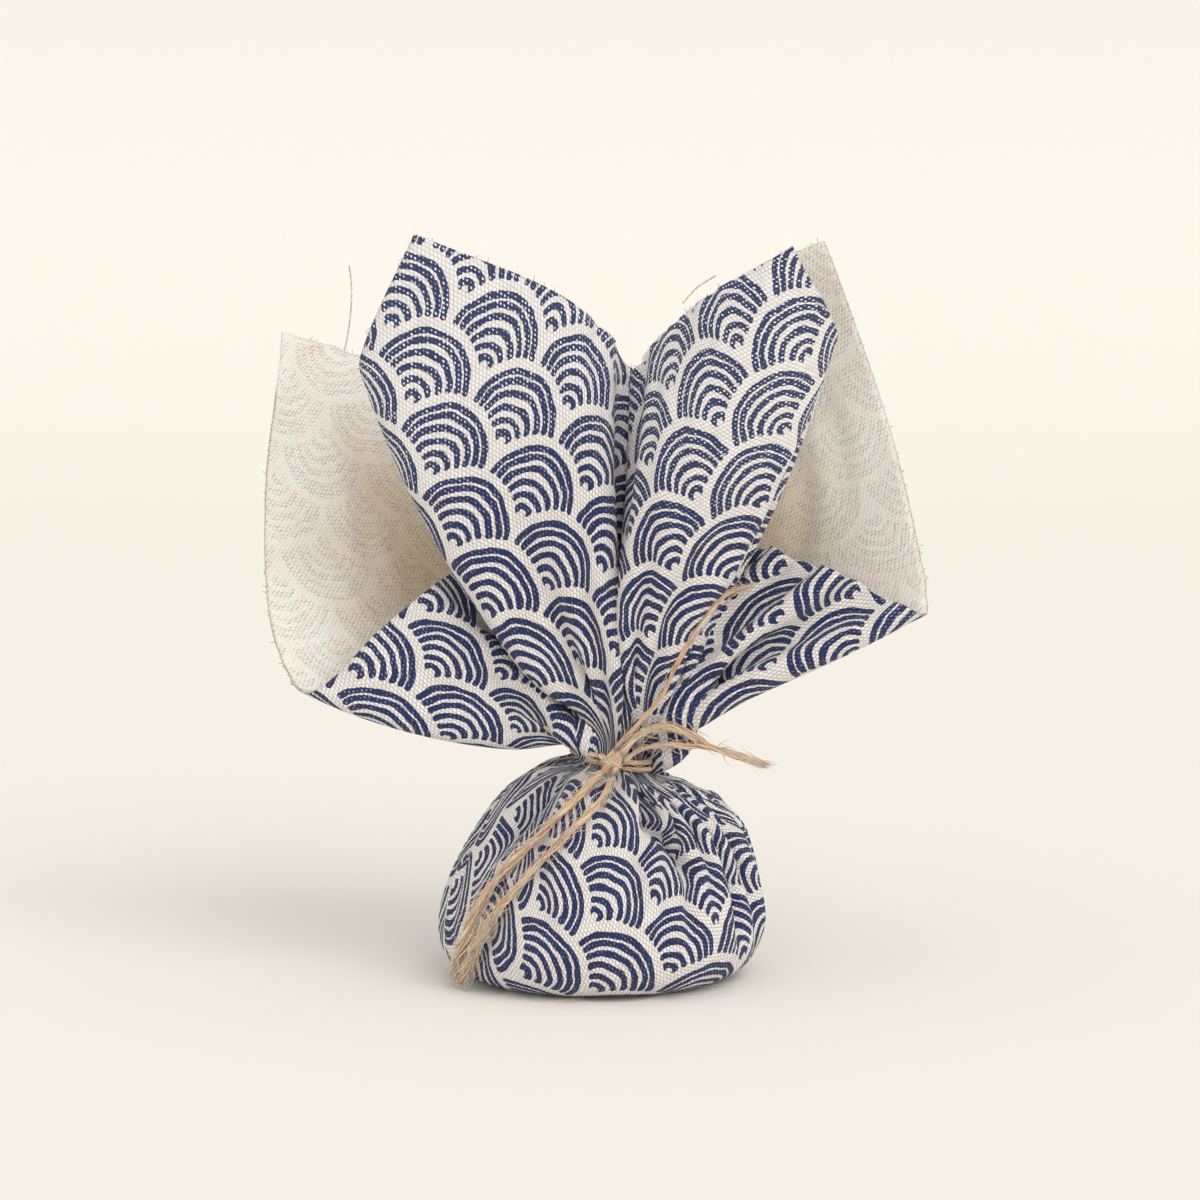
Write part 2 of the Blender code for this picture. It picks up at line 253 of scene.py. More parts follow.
FREEDOMS = (
    Freedom(-180, 2.2, 8.0, 6.0),
    Freedom(-150, 1.2, 7.0, 4.0),
    Freedom(-135, 0.8, 2.5, 2.0),
    Freedom(-120, 0.7, 1.2, 1.2),
    Freedom(-102, 0.6, 1.2, 1.2),
    Freedom(-90, 0.5, 6.0, 1.5),
    Freedom(-70, 0.5, 4.0, 1.5),
    Freedom(-45, 0.5, 2.0, 1.0),
    Freedom(-25, 0.7, 3.0, 2.5),
    Freedom(0, 1.3, 9.0, 7.0),
    Freedom(25, 1.6, 3.0, 2.5),
    Freedom(45, 1.8, 2.0, 1.0),
    Freedom(70, 2.2, 6.0, 2.5),
    Freedom(90, 2.5, 7.0, 3.0),
    Freedom(110, 2.5, 3.0, 2.5),
    Freedom(135, 2.5, 4.0, 2.0),
    Freedom(160, 2.5, 7.0, 5.0),
)

# x, y and z of points along each piece of twine, from the knot outwards
TWINE_ROUTES = {
    "twine_loop": (
        (1.4, -14.6, 53.4),
        (0.0, -16.2, 53.0),
        (-1.7, -19.6, 51.8),
        (-4.2, -23.3, 49.7),
        (-7.1, -25.7, 47.3),
        (-10.6, -27.4, 44.2),
        (-14.0, -28.2, 40.8),
        (-17.5, -28.2, 37.3),
        (-20.7, -28.0, 34.0),
        (-23.9, -27.5, 30.4),
        (-26.6, -27.0, 26.8),
        (-28.9, -26.7, 23.0),
        (-30.6, -25.7, 19.0),
        (-32.1, -25.4, 15.2),
        (-33.7, -24.0, 10.8),
        (-34.9, -21.6, 6.8),
        (-35.3, -18.8, 4.2),
        (-34.8, -18.4, 2.5),
        (-34.1, -19.8, 2.2),
        (-33.3, -22.4, 3.9),
        (-32.3, -24.6, 6.4),
        (-30.8, -26.5, 10.0),
        (-29.1, -29.3, 14.2),
        (-27.3, -30.5, 17.9),
        (-25.1, -31.2, 21.6),
        (-22.6, -31.7, 24.7),
        (-19.9, -32.2, 27.8),
        (-17.2, -32.3, 31.1),
        (-14.0, -32.3, 34.6),
        (-10.5, -31.8, 38.0),
        (-6.6, -30.8, 41.8),
        (-2.9, -28.6, 45.1),
        (0.3, -25.4, 48.0),
        (2.5, -21.2, 50.5),
        (4.0, -16.0, 52.4),
    ),
    "twine_tail_up": (
        (5.0, -11.4, 59.4),
        (6.0, -11.4, 60.9),
        (7.4, -11.6, 62.5),
        (8.9, -11.8, 64.0),
        (10.6, -12.0, 66.1),
        (12.1, -12.3, 67.9),
        (13.6, -12.5, 69.4),
        (16.6, -12.6, 73.8),
        (18.1, -12.7, 77.0),
        (19.6, -12.8, 80.4),
        (21.3, -12.8, 83.6),
        (23.4, -13.2, 86.9),
        (25.3, -13.5, 89.9),
        (27.2, -13.5, 92.7),
        (28.7, -13.2, 94.9),
        (30.7, -11.9, 96.8),
        (32.5, -9.8, 98.0),
        (34.5, -8.2, 98.5),
        (36.8, -7.0, 99.0),
        (39.0, -6.0, 99.2),
    ),
    "twine_tail_right": (
        (6.2, -13.5, 58.5),
        (7.2, -13.4, 59.7),
        (8.4, -13.2, 61.2),
        (9.9, -12.9, 62.4),
        (11.6, -12.5, 63.6),
        (13.6, -11.9, 64.3),
        (15.5, -11.2, 64.6),
        (17.1, -10.4, 64.3),
        (18.9, -9.6, 64.0),
        (20.4, -8.9, 63.4),
        (22.0, -8.2, 62.8),
        (23.6, -7.6, 61.9),
        (25.1, -7.1, 61.0),
        (26.6, -6.8, 59.8),
        (28.5, -6.6, 58.8),
        (32.6, -6.3, 57.5),
        (36.5, -6.1, 56.2),
        (39.8, -6.0, 55.1),
        (43.0, -6.0, 54.0),
    ),
    "twine_ply_right": (
        (6.7, -12.8, 56.1),
        (7.7, -12.5, 57.1),
        (8.7, -12.1, 57.8),
        (9.7, -11.8, 58.4),
        (10.9, -11.4, 58.9),
        (12.2, -10.9, 59.3),
        (13.1, -10.5, 59.5),
        (14.4, -10.1, 59.7),
        (15.6, -9.7, 59.8),
        (16.9, -9.4, 59.9),
        (18.4, -9.1, 59.9),
        (19.6, -8.9, 59.8),
        (20.9, -8.7, 59.6),
        (22.6, -8.4, 59.4),
        (24.6, -7.9, 59.4),
        (26.6, -7.5, 59.0),
        (28.6, -7.1, 58.4),
    ),
}

TWINE_THICKNESS = {
    "twine_loop": TWINE,
    "twine_tail_up": STRAND,
    "twine_tail_right": TWINE,
    "twine_ply_right": STRAND,
}


class Strand(NamedTuple):
    """How one free length of twine is spun: sizes in millimetres, places as shares of its length.

    slim is how much thinner it is in its second half and where it turns back.
    """

    name: str
    thickness: float
    slim: float
    fibres: int
    frayed_at: tuple[float, ...]
    frayed_length: float
    frayed: float
    ragged: float
    hairs: int
    hair_reach: float
    long_hairs: int
    seed: int


STRANDS = (
    Strand("twine_loop", 2.1, 0.3, 13, (0.39, 0.61), 0.055, 1.7, 0.0, 420, 1.9, 200, 41),
    Strand("twine_tail_up", 1.3, 0.0, 8, (1.0,), 0.04, 1.3, 1.0, 50, 1.4, 16, 43),
    Strand("twine_tail_right", 1.8, 0.0, 12, (0.33, 1.0), 0.1, 1.5, 1.6, 120, 1.6, 22, 47),
    Strand("twine_ply_right", 1.3, 0.0, 8, (0.5,), 0.2, 1.15, 0.0, 30, 1.4, 10, 53),
)

# x, y and z of points along each short strand of the knot
KNOT_STRANDS = (
    ((6.4, -12.4, 59.0), (4.8, -13.8, 57.4), (3.3, -14.3, 55.8), (1.9, -14.2, 54.4), (1.0, -13.5, 53.2)),
    ((0.8, -10.9, 57.4), (1.9, -13.0, 57.0), (3.6, -14.5, 56.2), (5.0, -13.8, 55.3), (6.2, -12.0, 54.9)),
    ((5.8, -11.2, 57.6), (5.6, -13.1, 56.3), (4.5, -14.0, 54.6), (3.7, -13.4, 53.2)),
    ((1.4, -11.2, 54.6), (1.8, -13.2, 55.8), (3.1, -13.9, 57.3), (4.4, -12.7, 58.8)),
)


# ---------------------------------------------------------------- small helpers


def smooth(x: np.ndarray) -> np.ndarray:
    """0 below 0, 1 above 1, and an even S between."""
    x = np.clip(x, 0.0, 1.0)
    return x * x * (3 - 2 * x)


def curve_through(
    at: Sequence[float], values: Sequence, x: np.ndarray, period: Optional[float] = None
) -> np.ndarray:
    """A smooth curve through values.

    Args:
        at: where each value stands, rising.
        values: one number or point for each.
        x: where the curve is read.
        period: the length after which it closes on itself, if it does.

    Returns:
        The curve's value at each x.
    """
    at, values = np.asarray(at, float), np.asarray(values, float)
    if period:
        at = np.concatenate([at[-2:] - period, at, at[:2] + period])
        values = np.concatenate([values[-2:], values, values[:2]])
    slope = np.gradient(values, at, axis=0, edge_order=1)
    i = np.clip(np.searchsorted(at, x, side="right") - 1, 0, len(at) - 2)
    step = at[i + 1] - at[i]
    f = (x - at[i]) / step
    if values.ndim > 1:
        step, f = step[..., None], f[..., None]
    return (
        (1 + 2 * f) * (1 - f) ** 2 * values[i]
        + f * (1 - f) ** 2 * step * slope[i]
        + f * f * (3 - 2 * f) * values[i + 1]
        - f * f * (1 - f) * step * slope[i + 1]
    )


def round_axis(turn: np.ndarray, tilt: np.ndarray = 0.0) -> np.ndarray:
    """The direction at a turn from the front, level or in a plane tilted down to the right.

    Args:
        turn: the turn, in degrees.
        tilt: how far the plane is tilted, in degrees.

    Returns:
        A vector of length 1 for each turn.
    """
    turn, tilt = np.radians(turn), np.radians(tilt)
    across = np.sin(turn)
    return np.stack([across * np.cos(tilt), -np.cos(turn), -across * np.sin(tilt)], axis=-1)


def even_path(route: Sequence, step: float) -> np.ndarray:
    """A smooth curve through a route.

    Args:
        route: the points that it passes through.
        step: about how far apart its own points are.

    Returns:
        Points in even steps along it.
    """
    route = np.array(route, float)
    along = np.concatenate([[0], np.cumsum(np.linalg.norm(np.diff(route, axis=0), axis=1))])
    fine = curve_through(along, route, np.linspace(0, along[-1], FINE))
    run = np.concatenate([[0], np.cumsum(np.linalg.norm(np.diff(fine, axis=0), axis=1))])
    count = max(FEWEST, round(run[-1] / step))
    at = np.linspace(0, run[-1], count + 1)
    return np.stack([np.interp(at, run, fine[:, k]) for k in range(3)], axis=-1)


def link(obj: bpy.types.Object) -> bpy.types.Object:
    """Puts a new object in the scene."""
    bpy.context.scene.collection.objects.link(obj)
    return obj


def mesh_piece(name: str, points: np.ndarray, faces: Sequence[Sequence[int]]) -> bpy.types.Object:
    """A smooth-shaded mesh object.

    Args:
        name: what it is called.
        points: its points, in millimetres.
        faces: the places of each face's points.

    Returns:
        The new object.
    """
    mesh = bpy.data.meshes.new(name)
    mesh.from_pydata((np.asarray(points) * MM).tolist(), [], [list(f) for f in faces])
    mesh.shade_smooth()
    return link(bpy.data.objects.new(name, mesh))


def use_only(obj: bpy.types.Object) -> None:
    """Makes one object the selected and active one.

    Args:
        obj: the object.
    """
    bpy.ops.object.select_all(action="DESELECT")
    obj.select_set(True)
    bpy.context.view_layer.objects.active = obj


# ---------------------------------------------------------------- shader building


class Wire:
    """A value in a material: arithmetic on it adds the Math nodes that work it out."""

    def __init__(self, bench: "Bench", socket: bpy.types.NodeSocket) -> None:
        """Wraps one output socket of the bench's material."""
        self.bench, self.socket = bench, socket

    def _math(self, operation: str, *values: "Wire | float") -> "Wire":
        """A Math node on these values."""
        return self.bench.node("ShaderNodeMath", {"operation": operation}, dict(enumerate(values)))

    def __add__(self, other: "Wire | float") -> "Wire":
        """self + other."""
        return self._math("ADD", self, other)

    __radd__ = __add__

    def __sub__(self, other: "Wire | float") -> "Wire":
        """self - other."""
        return self._math("SUBTRACT", self, other)

    def __rsub__(self, other: float) -> "Wire":
        """other - self."""
        return self._math("SUBTRACT", other, self)

    def __mul__(self, other: "Wire | float") -> "Wire":
        """self * other."""
        return self._math("MULTIPLY", self, other)

    __rmul__ = __mul__

    def __truediv__(self, other: "Wire | float") -> "Wire":
        """self / other."""
        return self._math("DIVIDE", self, other)

    def __rtruediv__(self, other: float) -> "Wire":
        """other / self."""
        return self._math("DIVIDE", other, self)

    def __abs__(self) -> "Wire":
        """The size of self."""
        return self._math("ABSOLUTE", self)

    def __mod__(self, other: float) -> "Wire":
        """self modulo other, never negative."""
        return self._math("FLOORED_MODULO", self, other)

    def __lt__(self, other: "Wire | float") -> "Wire":
        """1 where self is less than other."""
        return self._math("LESS_THAN", self, other)

    def floor(self) -> "Wire":
        """self rounded down."""
        return self._math("FLOOR", self)

    def sine(self) -> "Wire":
        """The sine of self in radians."""
        return self._math("SINE", self)

    def least(self, other: "Wire | float") -> "Wire":
        """The smaller of self and other."""
        return self._math("MINIMUM", self, other)

    def most(self, other: "Wire | float") -> "Wire":
        """The larger of self and other."""
        return self._math("MAXIMUM", self, other)

    def root(self) -> "Wire":
        """The square root of self."""
        return self._math("SQRT", self)

    def apart(self, other: "Wire") -> "Wire":
        """The length of the vector (self, other)."""
        return (self * self + other * other).root()

    def ramp(self, low: float, high: float) -> "Wire":
        """A soft step.

        Args:
            low: where it leaves 0.
            high: where it reaches 1.

        Returns:
            The step's height at self.
        """
        return self.bench.node(
            "ShaderNodeMapRange",
            {"interpolation_type": "SMOOTHSTEP"},
            {"Value": self, "From Min": low, "From Max": high, "To Min": 0.0, "To Max": 1.0},
        )


class Bench:
    """One material in the making."""

    def __init__(self, name: str) -> None:
        """Starts an empty material.

        Args:
            name: what it is called.
        """
        self.material = bpy.data.materials.new(name)
        self.material.use_nodes = True
        self.tree = self.material.node_tree
        self.tree.nodes.clear()

    def node(self, kind: str, settings: dict, values: dict, out: Optional[int] = 0) -> Optional[Wire]:
        """Adds one node.

        Args:
            kind: the node's type.
            settings: its properties, set first.
            values: a number, colour, vector or Wire for each input, by name or place.
            out: the output that is wanted, or None.

        Returns:
            That output, or None.
        """
        made = self.tree.nodes.new(kind)
        for key, value in settings.items():
            setattr(made, key, value)
        for key, value in values.items():
            if isinstance(value, Wire):
                self.tree.links.new(value.socket, made.inputs[key])
            elif isinstance(value, (tuple, list)) and made.inputs[key].type == "RGBA":
                made.inputs[key].default_value = (*value[:3], 1.0)
            else:
                made.inputs[key].default_value = value
        return None if out is None else Wire(self, made.outputs[out])

    def mix(self, share: "Wire | float", first: "Wire | Colour", second: "Wire | Colour") -> Wire:
        """A colour between first and second."""
        return self.node("ShaderNodeMix", {"data_type": "RGBA"}, {0: share, 6: first, 7: second}, 2)

    def scaled(self, colour: "Wire | Colour", by: Wire) -> Wire:
        """A colour made lighter or darker."""
        grey = self.node("ShaderNodeCombineXYZ", {}, {0: by, 1: by, 2: by})
        return self.node("ShaderNodeVectorMath", {"operation": "MULTIPLY"}, {0: colour, 1: grey})

    def axes(self, vector: Wire) -> tuple[Wire, Wire, Wire]:
        """The three parts of a vector."""
        split = self.node("ShaderNodeSeparateXYZ", {}, {0: vector})
        return tuple(Wire(self, output) for output in split.socket.node.outputs)

    def join(self, x: "Wire | float", y: "Wire | float", z: "Wire | float" = 0.0) -> Wire:
        """A vector from its parts."""
        return self.node("ShaderNodeCombineXYZ", {}, {0: x, 1: y, 2: z})

    def noise(self, where: Wire, scale: float, detail: float = 2.0) -> Wire:
        """Smooth noise about 0.5.

        Args:
            where: the place that it is read at.
            scale: how many of its swings a unit of length holds.
            detail: how many finer layers it has.

        Returns:
            The noise.
        """
        return self.node(
            "ShaderNodeTexNoise",
            {"noise_dimensions": "3D"},
            {"Vector": where, "Scale": scale, "Detail": detail},
        )

    def chance(self, where: Wire) -> Wire:
        """A number from 0 to 1 that is different at each place."""
        return self.node("ShaderNodeTexWhiteNoise", {"noise_dimensions": "3D"}, {"Vector": where})

    def surface(
        self,
        colour: "Wire | Colour",
        roughness: "Wire | float",
        height: Wire,
        depth: float,
        sheen: float = 0.0,
    ) -> bpy.types.Material:
        """Closes the material.

        Args:
            colour: its base colour.
            roughness: its roughness.
            height: its relief, from 0 to 1.
            depth: how deep the relief is, in metres.
            sheen: how much soft sheen its fibres give.

        Returns:
            The finished material.
        """
        values = {
            "Base Color": colour,
            "Roughness": roughness,
            "Specular IOR Level": 0.25,
            "Sheen Weight": sheen,
            "Sheen Roughness": 0.5,
            "Normal": self.node(
                "ShaderNodeBump", {}, {"Height": height, "Strength": 1.0, "Distance": depth}
            ),
        }
        shader = self.node("ShaderNodeBsdfPrincipled", {}, values)
        self.node("ShaderNodeOutputMaterial", {}, {"Surface": shader}, None)
        return self.material


def tint(red: int, green: int, blue: int) -> Colour:
    """A colour from its usual 0 to 255 figures, none of them under 11."""
    return tuple(((part / 255 + 0.055) / 1.055) ** 2.4 for part in (red, green, blue))


# ---------------------------------------------------------------- finishes


class Face(Enum):
    """A side of the cloth, with the place of its finish."""

    PRINTED = 0
    PLAIN = 1
    EDGE = 2


@dataclass(frozen=True)
class Canvas:
    """The canvas weave and the fan waves printed on it, in millimetres on the flat cloth.

    The fans stand in rows that overlap. Their lines are rings round the fan's foot, and the inner rings sink
    below it by middle_drop, less and less outwards as middle_bend says.
    """

    side: float = SIDE
    thread: tuple[float, float] = (1.08, 0.94)
    thread_slant: tuple[float, float] = (0.55, 0.08)
    fan_width: float = 26.25
    fan_rise: float = 13.5
    fan_radius: float = 13.1
    fan_start: tuple[float, float] = (148.5, -160.0)
    fan_sway: float = 2.2
    sway_scale: float = 0.13
    line_gap: float = 1.93
    line_half: float = 0.82
    line_blur: float = 0.09
    lines_start: float = 0.8
    lines_end: float = 12.4
    next_fan: float = 14.55
    middle_drop: float = 4.9
    middle_bend: float = 0.0066
    ring_rounds: int = 4
    # where the ink wear and the painted glints on the thread crowns grow, as reaches from the middle
    wear_and_glint_from: float = 150.0
    wear_and_glint_to: float = 200.0

    def place(self, bench: Bench) -> tuple[Wire, Wire]:
        """The flat coordinates of the point that is shaded."""
        across, along, _ = bench.axes(bench.node("ShaderNodeUVMap", {"uv_map": "flat"}, {}))
        return across * self.side - 0.5 * self.side, along * self.side - 0.5 * self.side

    def ink(self, bench: Bench, across: Wire, along: Wire, uneven: "Wire | float" = 0.0) -> Wire:
        """Where the navy lines lie.

        Args:
            bench: the material in the making.
            across: the flat coordinate towards the right.
            along: the flat coordinate towards the front edge.
            uneven: how much wider the lines are here.

        Returns:
            1 in a line and 0 between them.
        """
        spot = bench.join(across, along)
        sway = bench.noise(spot, self.sway_scale)
        lift = bench.noise(bench.join(along + 71.0, across - 33.0), self.sway_scale)
        x = across + (self.fan_start[0] - 0.5 * self.fan_sway) + sway * self.fan_sway
        y = along + (self.fan_start[1] - 0.5 * self.fan_sway) + lift * self.fan_sway
        # a place belongs to the fan of its own row where it is inside that one, and else to the row above
        width, rise = self.fan_width, self.fan_rise
        row = (y / rise).floor()
        shift = (row % 2.0) * (0.5 * width)
        low_x = (x - shift + 0.5 * width) % width - 0.5 * width
        low_y = y - row * rise
        high_x = (x - shift) % width - 0.5 * width
        inside = low_x * low_x + low_y * low_y < self.fan_radius**2
        dx = high_x + inside * (low_x - high_x)
        dy = low_y - (1.0 - inside) * rise
        ring, off = self.ring(dx, dy)
        # the lines end round where the next row's fan covers them
        half = self.line_half * 0.8 + bench.noise(spot, 0.31) * (self.line_half * 0.4) + uneven
        beyond = half + self.next_fan - (0.5 * width - abs(dx)).apart(dy + rise)
        past = off.apart(beyond.most(0.0)) - half
        line = 1.0 - past.ramp(-self.line_blur, self.line_blur)
        return line * (ring < self.lines_end)

    def ring(self, dx: Wire, dy: Wire) -> tuple[Wire, Wire]:
        """The fan's rings.

        Args:
            dx: how far the place is to the right of the fan's foot.
            dy: how far it is above it.

        Returns:
            The radius of the ring that passes there, and how far the nearest line's middle is.
        """
        ring = dx.apart(dy)
        for _ in range(self.ring_rounds):
            inner = (1.0 - ring * ring * self.middle_bend).most(0.0)
            above = (dy + inner * inner * inner * self.middle_drop).most(0.0)
            ring = (ring + dx.apart(above)) * 0.5
        lane = ring / self.line_gap
        off = abs(lane - (lane + 0.5).floor()) * self.line_gap
        crowding = inner * inner * above * (6 * self.middle_drop * self.middle_bend) + 1.0
        return ring, off * crowding + (ring < self.lines_start) * 2.0

    def weave(self, bench: Bench, across: Wire, along: Wire) -> tuple[Wire, Wire, Wire]:
        """The crossings of the threads: small slanting grains with a groove round each.

        Args:
            bench: the material in the making.
            across: the flat coordinate towards the right.
            along: the flat coordinate towards the front edge.

        Returns:
            How high the thread stands, from 0 in a groove to 1 on a crown; a chance number for each grain;
            and 1 in the short dark dash on each grain.
        """
        loose = bench.noise(bench.join(across, along), 0.6) * 0.5
        right = (across + along * self.thread_slant[0] + loose) / self.thread[0]
        up = (along + across * self.thread_slant[1] - loose * 0.6) / self.thread[1]
        column, line = abs((right * math.pi).sine()), abs((up * math.pi).sine())
        beside, above = right % 1.0 - 0.5, up % 1.0 - 0.5
        dash = abs(beside * 0.8 + above * 0.55).ramp(0.27, 0.1) * abs(above).ramp(0.48, 0.28)
        return column.least(line), bench.chance(bench.join(right.floor(), up.floor())), dash

    def wear_and_glint(self, across: Wire, along: Wire) -> Wire:
        """1 towards the corners and 0 in the middle: the ink is more worn there, and the painted glints on
        the thread crowns are stronger there.
        """
        return across.apart(along).ramp(self.wear_and_glint_from, self.wear_and_glint_to)


@dataclass(frozen=True)
class PrintedFace:
    """The outer side: navy fan waves on cream, with the weave breaking through the ink, and painted glints
    on the thread crowns towards the corners.
    """

    relief: float = 0.00022
    canvas: Canvas = Canvas()
    cream: Colour = tint(246, 243, 243)
    bright: Colour = tint(255, 254, 254)
    tan: Colour = tint(196, 178, 166)
    navy: Colour = tint(46, 56, 102)
    teal: Colour = tint(42, 60, 102)
    purple: Colour = tint(56, 54, 92)
    faded: Colour = tint(92, 102, 138)

    def make(self) -> bpy.types.Material:
        """Builds the material.

        Returns:
            The finished material.
        """
        bench = Bench("canvas_printed")
        across, along = self.canvas.place(bench)
        crown, luck, _ = self.canvas.weave(bench, across, along)
        ink = self.canvas.ink(bench, across, along, luck * 0.13 - crown * 0.07 - 0.03)
        spot = bench.join(across, along)
        blotch = bench.noise(spot, 0.16, 3.0)
        wear_and_glint = self.canvas.wear_and_glint(across, along)
        # the crowns of the threads that the ink has missed, with painted glints that make more of them
        # bright towards the corners, where the upper petals catch the light
        fleck_and_glint = (crown + luck * 0.3).ramp(0.98, 1.12) * (luck * 0.4 + 0.6) * (wear_and_glint * 0.85 + 0.15)
        # the cream ground, tan in its grooves
        ground = bench.mix(bench.noise(spot, 0.25, 3.0).ramp(0.35, 0.7), self.cream, self.bright)
        groove = 1.0 - (crown + luck * 0.1).ramp(0.05, 0.62)
        ground = bench.mix(groove * (0.92 - wear_and_glint * 0.35), ground, self.tan)
        # the dye, which is a little uneven and fades towards the corners
        dye = bench.mix(blotch.ramp(0.3, 0.5), self.teal, self.navy)
        dye = bench.mix(blotch.ramp(0.5, 0.72), dye, self.purple)
        dye = bench.mix(wear_and_glint * 0.3, dye, self.faded)
        # painted glints: the bright thread crowns show through the ink
        dye = bench.mix(fleck_and_glint, dye, self.bright)
        dye = bench.scaled(dye, groove * -0.25 + 1.0)
        colour = bench.mix(ink, ground, dye)
        return bench.surface(colour, 0.92, crown, self.relief, sheen=0.1)


@dataclass(frozen=True)
class PlainFace:
    """The inner side: pale, with grey-blue specks where the ink has come through, and painted warm shade
    inwards.
    """

    relief: float = 0.00013
    # painted shade: how far in from the cut edge the plain side starts and ends turning warm
    painted_shade_span: tuple[float, float] = (16.0, 58.0)
    canvas: Canvas = Canvas()
    pale: Colour = tint(255, 252, 247)
    cream: Colour = tint(254, 247, 237)
    tan: Colour = tint(214, 200, 182)
    speck: Colour = tint(106, 98, 98)
    # the tone of the painted warm shade in the deep hollows
    painted_shade_tone: Colour = tint(208, 190, 164)

    def make(self) -> bpy.types.Material:
        """Builds the material.

        Returns:
            The finished material.
        """
        bench = Bench("canvas_plain")
        across, along = self.canvas.place(bench)
        crown, luck, dash = self.canvas.weave(bench, across, along)
        ghost = self.canvas.ink(bench, across, along, luck * 0.3 - 0.15)
        spot = bench.join(across, along)
        groove = 1.0 - (crown + luck * 0.15).ramp(0.05, 0.55)
        ground = bench.mix(bench.noise(spot, 0.2, 3.0).ramp(0.35, 0.7), self.pale, self.cream)
        colour = bench.mix(groove * 0.12, ground, self.tan)
        # painted warm shade inwards, where the hollows by the neck lie deep in shade, and in soft random
        # patches; then the specks, more of them behind the printed lines
        shade_depth = 0.5 * self.canvas.side - abs(across).most(abs(along)) + bench.noise(spot, 0.03) * 16.0
        colour = bench.mix(shade_depth.ramp(*self.painted_shade_span), colour, self.painted_shade_tone)
        shade_patch = bench.noise(spot, 0.022).ramp(0.48, 0.7) * 0.2
        colour = bench.mix(shade_patch, colour, self.painted_shade_tone)
        colour = bench.mix(dash * (luck * 0.5 + 0.5) * (ghost * 0.38 + 0.26), colour, self.speck)
        return bench.surface(colour, 0.92, crown, self.relief, sheen=0.1)


@dataclass(frozen=True)
class CutEdge:
    """The raw edge of the canvas: thread ends side by side."""

    pale: Colour = tint(236, 228, 214)
    shade: Colour = tint(178, 166, 150)

    def make(self) -> bpy.types.Material:
        """Builds the material.

        Returns:
            The finished material.
        """
        bench = Bench("canvas_edge")
        where = bench.node("ShaderNodeTexCoord", {}, {}, 3)
        ends = bench.noise(where, 1700.0, 2.0).ramp(0.35, 0.65)
        return bench.surface(bench.mix(ends, self.shade, self.pale), 0.95, ends, 0.0002, sheen=0.12)


@dataclass(frozen=True)
class Jute:
    """Tan jute: fibres that run along each strand, some pale and some brown, and paler stray hairs."""

    hair: Colour = tint(250, 232, 210)
    tan: Colour = tint(234, 198, 160)
    pale: Colour = tint(252, 235, 210)
    brown: Colour = tint(184, 134, 94)

    def make(self) -> bpy.types.Material:
        """Builds the material.

        Returns:
            The finished material.
        """
        bench = Bench("jute")
        along, round_, _ = bench.axes(bench.node("ShaderNodeUVMap", {"uv_map": "ply"}, {}))
        fibre = bench.noise(bench.join(along * 0.22, round_ * 9.0), 1.0, 3.0)
        patch = bench.noise(bench.join(along * 0.06, round_ * 0.8), 1.0, 2.0)
        colour = bench.mix(fibre.ramp(0.35, 0.65), self.brown, self.tan)
        colour = bench.mix(patch.ramp(0.4, 0.65) * 0.75, colour, self.pale)
        colour = bench.mix(round_ < 0.0, colour, self.hair)
        return bench.surface(colour, 0.85, fibre, 0.00012, sheen=0.2)


# ---------------------------------------------------------------- the cloth


